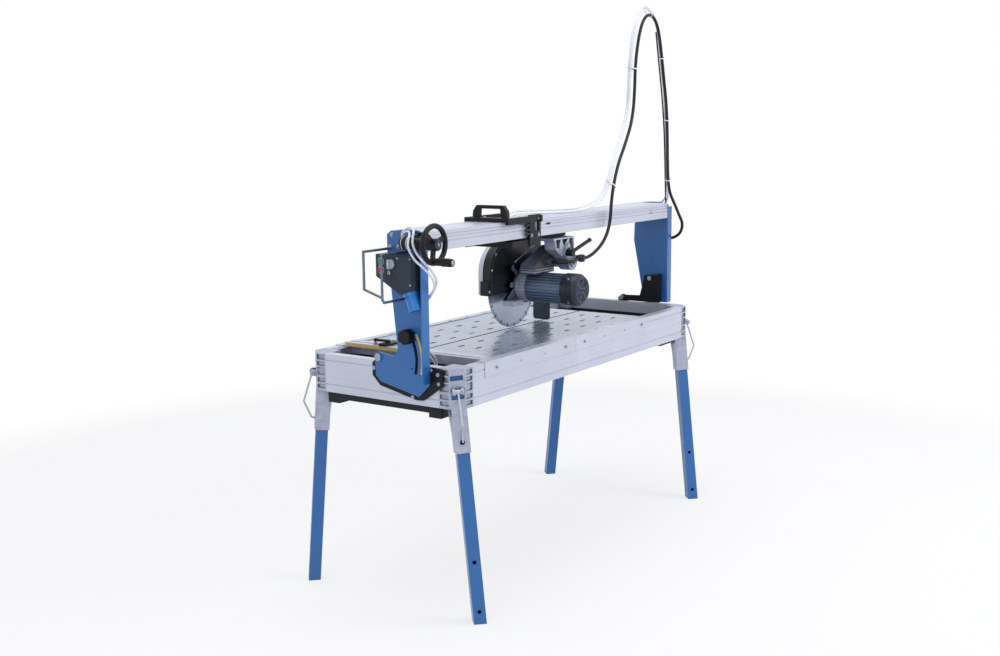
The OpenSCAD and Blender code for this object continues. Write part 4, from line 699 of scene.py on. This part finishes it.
def scale_strip(bm):
    outer, inner = (arc(TILT_Y, TILT_Z, r, 150, 193, 24) for r in (174.0, 166.5))
    add_prism(bm, outer + inner[::-1], 0, PLATE_X - 0.5, PLATE_X - 0.02)


details("tilt_scale", M["angle_scale"], "bridge", scale_strip)
screws("column_screws", "bridge",
       ([(PLATE_X, y, z) for y, z in ((-94, 1159), (-161, 1197), (-70, 1196), (-62, 1158))],
        LEFT, 5.2, 3.4, "hex", 1.2))


# the switch box's raised lid, and what sits on the box
def lid(bm):
    outline = [(-124, 1136), (-184, 1136), (-184, 1044), (-163, 1036), (-138, 1030),
               (-90, 1052), (-90, 1066), (-124, 1066)]
    add_prism(bm, outline, 0, PANEL_X - 3.5, PANEL_X - 0.02, 1.6)


def lid_lock(bm):
    add_lathe(bm, (PANEL_X + 0.1, -97, 1086), LEFT, [(6.5, 0), (6.5, 3), (5.2, 4.2),
              (3.2, 4.2), (3.0, 1.2), (0, 1.0)], 24)


def button_rings(bm):
    for y, z in ((-66, 1118), (-66, 1093)):
        add_ring(bm, (PANEL_X + 0.02, y, z), LEFT, 9.6, 13.0, 2.4, 32)


details("switch_lid", M["box_plastic"], "bridge", lid)
screws("lid_screws", "bridge",
       ([(PANEL_X - 3.4, y, z) for y, z in ((-130, 1130), (-178, 1130), (-178, 1052))],
        LEFT, 3.2, 1.6, "pan"))
details("lid_lock", M["bolt"], "bridge", lid_lock)
details("button_rings", M["bolt"], "bridge", button_rings)


# the handwheel's hub and the crank's grip
def wheel_cap(bm):
    add_lathe(bm, (WHEEL_X, -284.02, PULLEY_Z), NEAR, [(0, 0), (15.5, 0), (15.5, 1.0),
              (14, 2.6), (7, 3.2), (6.4, 2.0), (0, 1.8)], 40)


def grip_cap(bm):
    add_lathe(bm, (CRANK_X, -341.9, CRANK_Z), NEAR, [(0, 0), (7.6, 0), (7.6, 1.0),
              (6.2, 2.0), (3.4, 2.0), (2.6, 0.8), (0, 0.8)], 28)


def grip_ribs(bm):
    for k in range(6):
        add_ring(bm, (CRANK_X, -306 - 5 * k, CRANK_Z), NEAR, 11.0, 12.5, 1.8, 36)


details("wheel_cap", M["box_plastic"], "wheel", wheel_cap)
screws("wheel_nut", "wheel", ([(WHEEL_X, -285.8, PULLEY_Z)], NEAR, 5.0, 2.6, "hex"))
details("grip_cap", M["bolt"], "crank", grip_cap)
details("grip_ribs", M["black_plastic"], "crank", grip_ribs)


# the fan cover with its lobes, screws and ringed grille
def fan_outline(r, lobe, steps=96):
    points = []
    for k in range(steps):
        a = 2 * pi * k / steps
        bump = max(0.0, cos(4 * (a - pi / 4))) ** 6
        points.append((HEAD_X + (r + lobe * bump) * cos(a), AXIS_Z + (r + lobe * bump) * sin(a)))
    return points


def fan_shell(bm):
    add_prism(bm, fan_outline(FAN_R, 4), 1, FAN_MID_Y, FAN_Y - 0.3, 1.5)
    rim = [(0, 0), (FAN_R, 0), (FAN_R, 18), (55.5, 22), (47, 33.5), (44, 34.5), (41.5, 33),
           (41.5, 20), (0, 20)]
    add_lathe(bm, (HEAD_X, FAN_MID_Y, AXIS_Z), NEAR, rim, 72)


def fan_grille(bm):
    for r in (7, 15, 23, 31, 39):
        add_ring(bm, (HEAD_X, -291.5, AXIS_Z), NEAR, r - 1.4, r + 1.4, 2.6, 48)
    for k in range(6):
        a = pi * k / 3 + 0.26
        bar = [(HEAD_X + s * sin(a) * 1.5 + d * cos(a), AXIS_Z - s * cos(a) * 1.5 + d * sin(a))
               for s, d in ((-1, 7), (1, 7), (1, 42), (-1, 42))]
        add_prism(bm, bar, 1, -293.6, -291.8)


fan = details("fan_shell", M["fan_plastic"], "head", fan_shell)
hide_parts("fan_cover")
details("fan_grille", M["grille"], "head", fan_grille)
screws("fan_screws", "head",
       ([(HEAD_X + 56 * cos(pi / 4 + k * pi / 2), -262.0, AXIS_Z + 56 * sin(pi / 4 + k * pi / 2))
         for k in range(4)], NEAR, 3.6, 3.0, "hex", 0.8))


# the guard's rim seam, screws and cooling ribs, the wiring box's flange and the stay
def guard_path(inset):
    """The guard's arch, inset from its rim, from its right foot to its left one."""
    r = GUARD_ROUND - inset
    left, right = HEAD_X - GUARD_REACH + GUARD_ROUND, HEAD_X + GUARD_REACH - GUARD_ROUND
    mid = GUARD_TOP - GUARD_ROUND
    turn = [(right + r * cos(radians(a)), mid + r * sin(radians(a))) for a in range(0, 91, 6)]
    back = [(left + r * cos(radians(a)), mid + r * sin(radians(a))) for a in range(90, 181, 6)]
    return [(HEAD_X + GUARD_REACH - inset, GUARD_LOW), *turn, *back,
            (HEAD_X - GUARD_REACH + inset, GUARD_LOW)]


def guard_seam(bm):
    outer, inner = guard_path(7), guard_path(10.5)
    add_prism(bm, outer + inner[::-1], 1, GUARD_Y - 1.4, GUARD_Y - 0.02, 0.5)


def guard_ribs(bm):
    for k in range(7):
        z = 958 + 7 * k
        add_box(bm, (-216, GUARD_Y - 2.2, z), (-148, GUARD_Y - 0.02, z + 3.4), 0.6)


def box_flange(bm):
    add_box(bm, (-113.5, -143.2, 1009), (11.5, -76.8, 1015), 1.2)
    add_box(bm, (-112.8, -142.6, 1018), (10.8, -77.4, 1022), 0.8)


def stay_rod(bm):
    add_tube(bm, [at(-4, -72, 1100), at(-60, -68, 1074), at(-124, -62, 1046)], 2.2, 12)


details("guard_seam", M["guard_rim"], "head", guard_seam)
screws("guard_screws", "head",
       ([(x, GUARD_Y, z) for x, z in ((-238, 950), (-222, 1024), (-196, 1078), (-140, 1106),
                                      (-60, 1108))], NEAR, 4.0, 2.4, "pan", 0.6))
details("guard_ribs", M["guard_black"], "head", guard_ribs)
details("box_flange", M["cast_alloy"], "head", box_flange)
screws("box_screws", "head", ([(-112.02, y, 1028) for y in (-136, -84)], LEFT, 2.6, 1.6, "pan"))
details("guard_stay", M["steel"], "head", stay_rod)


# the flap hangs to the table
def flap_shape(bm):
    top, low, half, r = 909.0, 801.0, 37.0, 12.0
    corner = [(half - r + r * cos(radians(a)), low + r - r * sin(radians(a)))
              for a in range(0, 91, 15)]
    outline = [(half, top), *corner, *((-y, z) for y, z in corner[::-1]), (-half, top)]
    add_prism(bm, outline, 0, FLAP_X, FLAP_X + 3.6, 1.0)
    add_box(bm, (FLAP_X + 3.6, -36, 893), (FLAP_X + 4.0, 36, 906), 0.1)


flap = details("spray_flap", M["flap_rubber"], "head", flap_shape)
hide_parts("splash_flap")
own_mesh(flap)


# carriage, rail and pivot fittings
# painted shade: a thin black plate on the rail's near face stands for the shade inside a slot
def rail_slot_shade(bm):
    add_box(bm, (-134, -200.6, 1184), (-108, -199.98, 1191), 0.1)


def clip_cover(bm):
    add_box(bm, (73, -223, 1036.5), (87, -206, 1040.0), 0.8)
    add_box(bm, (73, -223.4, 1060.05), (87, -206, 1062.5), 0.8)
    add_box(bm, (72.6, -225.5, 1037), (87.4, -222.05, 1062), 0.8)


screws("carriage_screws", "carriage",
       ([(x, -214.0, z) for x, z in ((-206, 1156), (-206, 1212), (-250, 1212), (-250, 1156))],
        NEAR, 4.5, 3.0, "hex", 1.0),
       ([(-390, y, 1222) for y in (-196, -120, -88)], UP, 4.5, 3.0, "hex", 1.0))
details("rail_slot_shade", M["black_steel"], "bridge", rail_slot_shade)
screws("rail_screw", "bridge", ([(653, -200, 1180)], NEAR, 4.6, 2.6, "pan", 0.6))
screws("pivot_nut", "head", ([(54, -201.3, 1038)], NEAR, 9.0, 5.0, "hex", 1.4))
details("clip_cover", M["black_plastic"], "carriage", clip_cover)


# fence, column supports and frame
def fence_rule(bm):
    add_box(bm, (-657.5, 24, 799), (-657.02, 266, 808))


def lever_tip(bm):
    add_lathe(bm, (-642, 149, 812), (-0.22, 1, 0.02), [(0, -6.9), (5, -5.4), (7.1, -1.5),
              (7.1, 2.5), (5, 5.8), (0, 7.2)], 24)


details("fence_rule", M["ruler"], "frame", fence_rule)
details("lever_tip", M["orange_tip"], "stop_lever", lever_tip)
screws("support_screws", "frame",
       ([(-806, y, z) for y, z in ((-233, 748), (-70, 786), (-205, 788))],
        LEFT, 4.0, 2.6, "hex", 0.8))
screws("angle_screws", "frame",
       *(([(x, side * 310.5, 775)], (0, side, 0), 4.4, 1.4, "pan")
         for x in (-600, -182, -53, 376) for side in (-1, 1)))


# ties that hold the hoses to the cable
TIE_SIDES, TIE_HALF, TIE_THICK = 32, 2.2, 1.1


def tie(name, cable, hose, blended):
    """A band round the cable and both hoses, given the route point indices."""
    bm = bmesh.new()
    a, b = Vector(CABLE_ROUTE[cable]), Vector(HOSE_ROUTE[hose]) + Vector((0, 5, 5))
    mid = (a + b) / 2
    along = (Vector(CABLE_ROUTE[cable + 1]) - Vector(CABLE_ROUTE[cable - 1])).normalized()
    reach = (b - a).length / 2 + 9.5
    across = (b - a).normalized()
    up = along.cross(across)
    angles = [2 * pi * k / TIE_SIDES for k in range(TIE_SIDES)]
    rings = []
    for t in (-TIE_HALF, TIE_HALF):
        for grow in (0.0, TIE_THICK):
            rings.append([bm.verts.new(at(*(mid + along * t + across * (reach + grow) * cos(v)
                                            + up * (10.5 + grow) * sin(v)))) for v in angles])
    for low, high in ((rings[0], rings[2]), (rings[1], rings[3]), (rings[0], rings[1]),
                      (rings[2], rings[3])):
        for k in range(TIE_SIDES):
            j = (k + 1) % TIE_SIDES
            bm.faces.new((low[k], low[j], high[j], high[k]))
    obj = piece(name, bm, M["tie_white"], None if blended else "bridge")
    if blended:
        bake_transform(obj)


for k, (cable, hose, blended) in enumerate(((14, 9, False), (17, 12, False), (20, 15, False),
                                            (24, 19, True), (29, 24, True), (35, 30, True))):
    tie(f"lead_tie_{k + 1}", cable, hose, blended)


# ---------- light, floor and background ----------
SKY, FLOOR_HALF, FLOOR_GLOW = 0.62, 30.0, 0.7


def make_world():
    world = bpy.data.worlds.new("world")
    bpy.context.scene.world = world
    world.use_nodes = True
    nodes, links = world.node_tree.nodes, world.node_tree.links
    nodes.clear()
    out = nodes.new("ShaderNodeOutputWorld")
    path = nodes.new("ShaderNodeLightPath")
    seen = path.outputs["Is Camera Ray"]
    for name in ("Is Glossy Ray", "Is Transmission Ray"):
        either = nodes.new("ShaderNodeMath")
        either.operation = "MAXIMUM"
        links.new(seen, either.inputs[0])
        links.new(path.outputs[name], either.inputs[1])
        seen = either.outputs[0]
    soft, white = nodes.new("ShaderNodeBackground"), nodes.new("ShaderNodeBackground")
    soft.inputs["Color"].default_value = (0.94, 0.97, 1.0, 1)
    soft.inputs["Strength"].default_value = SKY
    white.inputs["Color"].default_value = (1, 1, 1, 1)
    mix = nodes.new("ShaderNodeMixShader")
    links.new(seen, mix.inputs[0])
    links.new(soft.outputs[0], mix.inputs[1])
    links.new(white.outputs[0], mix.inputs[2])
    links.new(mix.outputs[0], out.inputs["Surface"])


def area_light(name, where, target, size, power):
    data = bpy.data.lights.new(name, "AREA")
    data.shape, data.size, data.energy = "SQUARE", size, power
    lamp = bpy.data.objects.new(name, data)
    lamp.location = where
    lamp.rotation_mode = "QUATERNION"
    lamp.rotation_quaternion = (Vector(target) - Vector(where)).to_track_quat("-Z", "Y")
    bpy.context.scene.collection.objects.link(lamp)


def make_floor():
    """A white floor that fades into the background and keeps the object's shadow."""
    bm = bmesh.new()
    bmesh.ops.create_grid(bm, x_segments=1, y_segments=1, size=FLOOR_HALF)
    mesh = bpy.data.meshes.new("floor")
    bm.to_mesh(mesh)
    bm.free()
    floor = bpy.data.objects.new("floor", mesh)
    floor.location = (0, 0, -0.0005)
    bpy.context.scene.collection.objects.link(floor)
    t = Tree("floor", srgb(236, 236, 238), 0.9)
    glow = t.node("ShaderNodeEmission", {"Color": (1, 1, 1, 1), "Strength": 1.0}).outputs[0]
    far = t.node("ShaderNodeVectorMath", operation="LENGTH")
    t.links.new(t.place, far.inputs[0])
    edge = t.span(far.outputs["Value"], 1.2, 3.2)
    path = t.node("ShaderNodeLightPath")
    seen = t.math("MAXIMUM", path.outputs["Is Camera Ray"], path.outputs["Is Glossy Ray"])
    near = t.math("MULTIPLY", seen, t.math("MAXIMUM", edge, FLOOR_GLOW))
    mix = t.node("ShaderNodeMixShader")
    t.links.new(near, mix.inputs[0])
    t.links.new(t.shader.outputs[0], mix.inputs[1])
    t.links.new(glow, mix.inputs[2])
    t.links.new(mix.outputs[0], t.nodes["Material Output"].inputs["Surface"])
    mesh.materials.append(t.done())


make_world()
make_floor()
area_light("key", (1.6, -4.2, 3.4), (0.1, 0, 0.9), 2.4, 110)
area_light("top", (-0.6, 0.2, 4.6), (0.0, 0, 0.8), 3.0, 60)
area_light("left", (-4.6, -1.0, 2.2), (-0.3, 0, 0.9), 2.0, 22)
bpy.context.scene.view_settings.view_transform = "Standard"
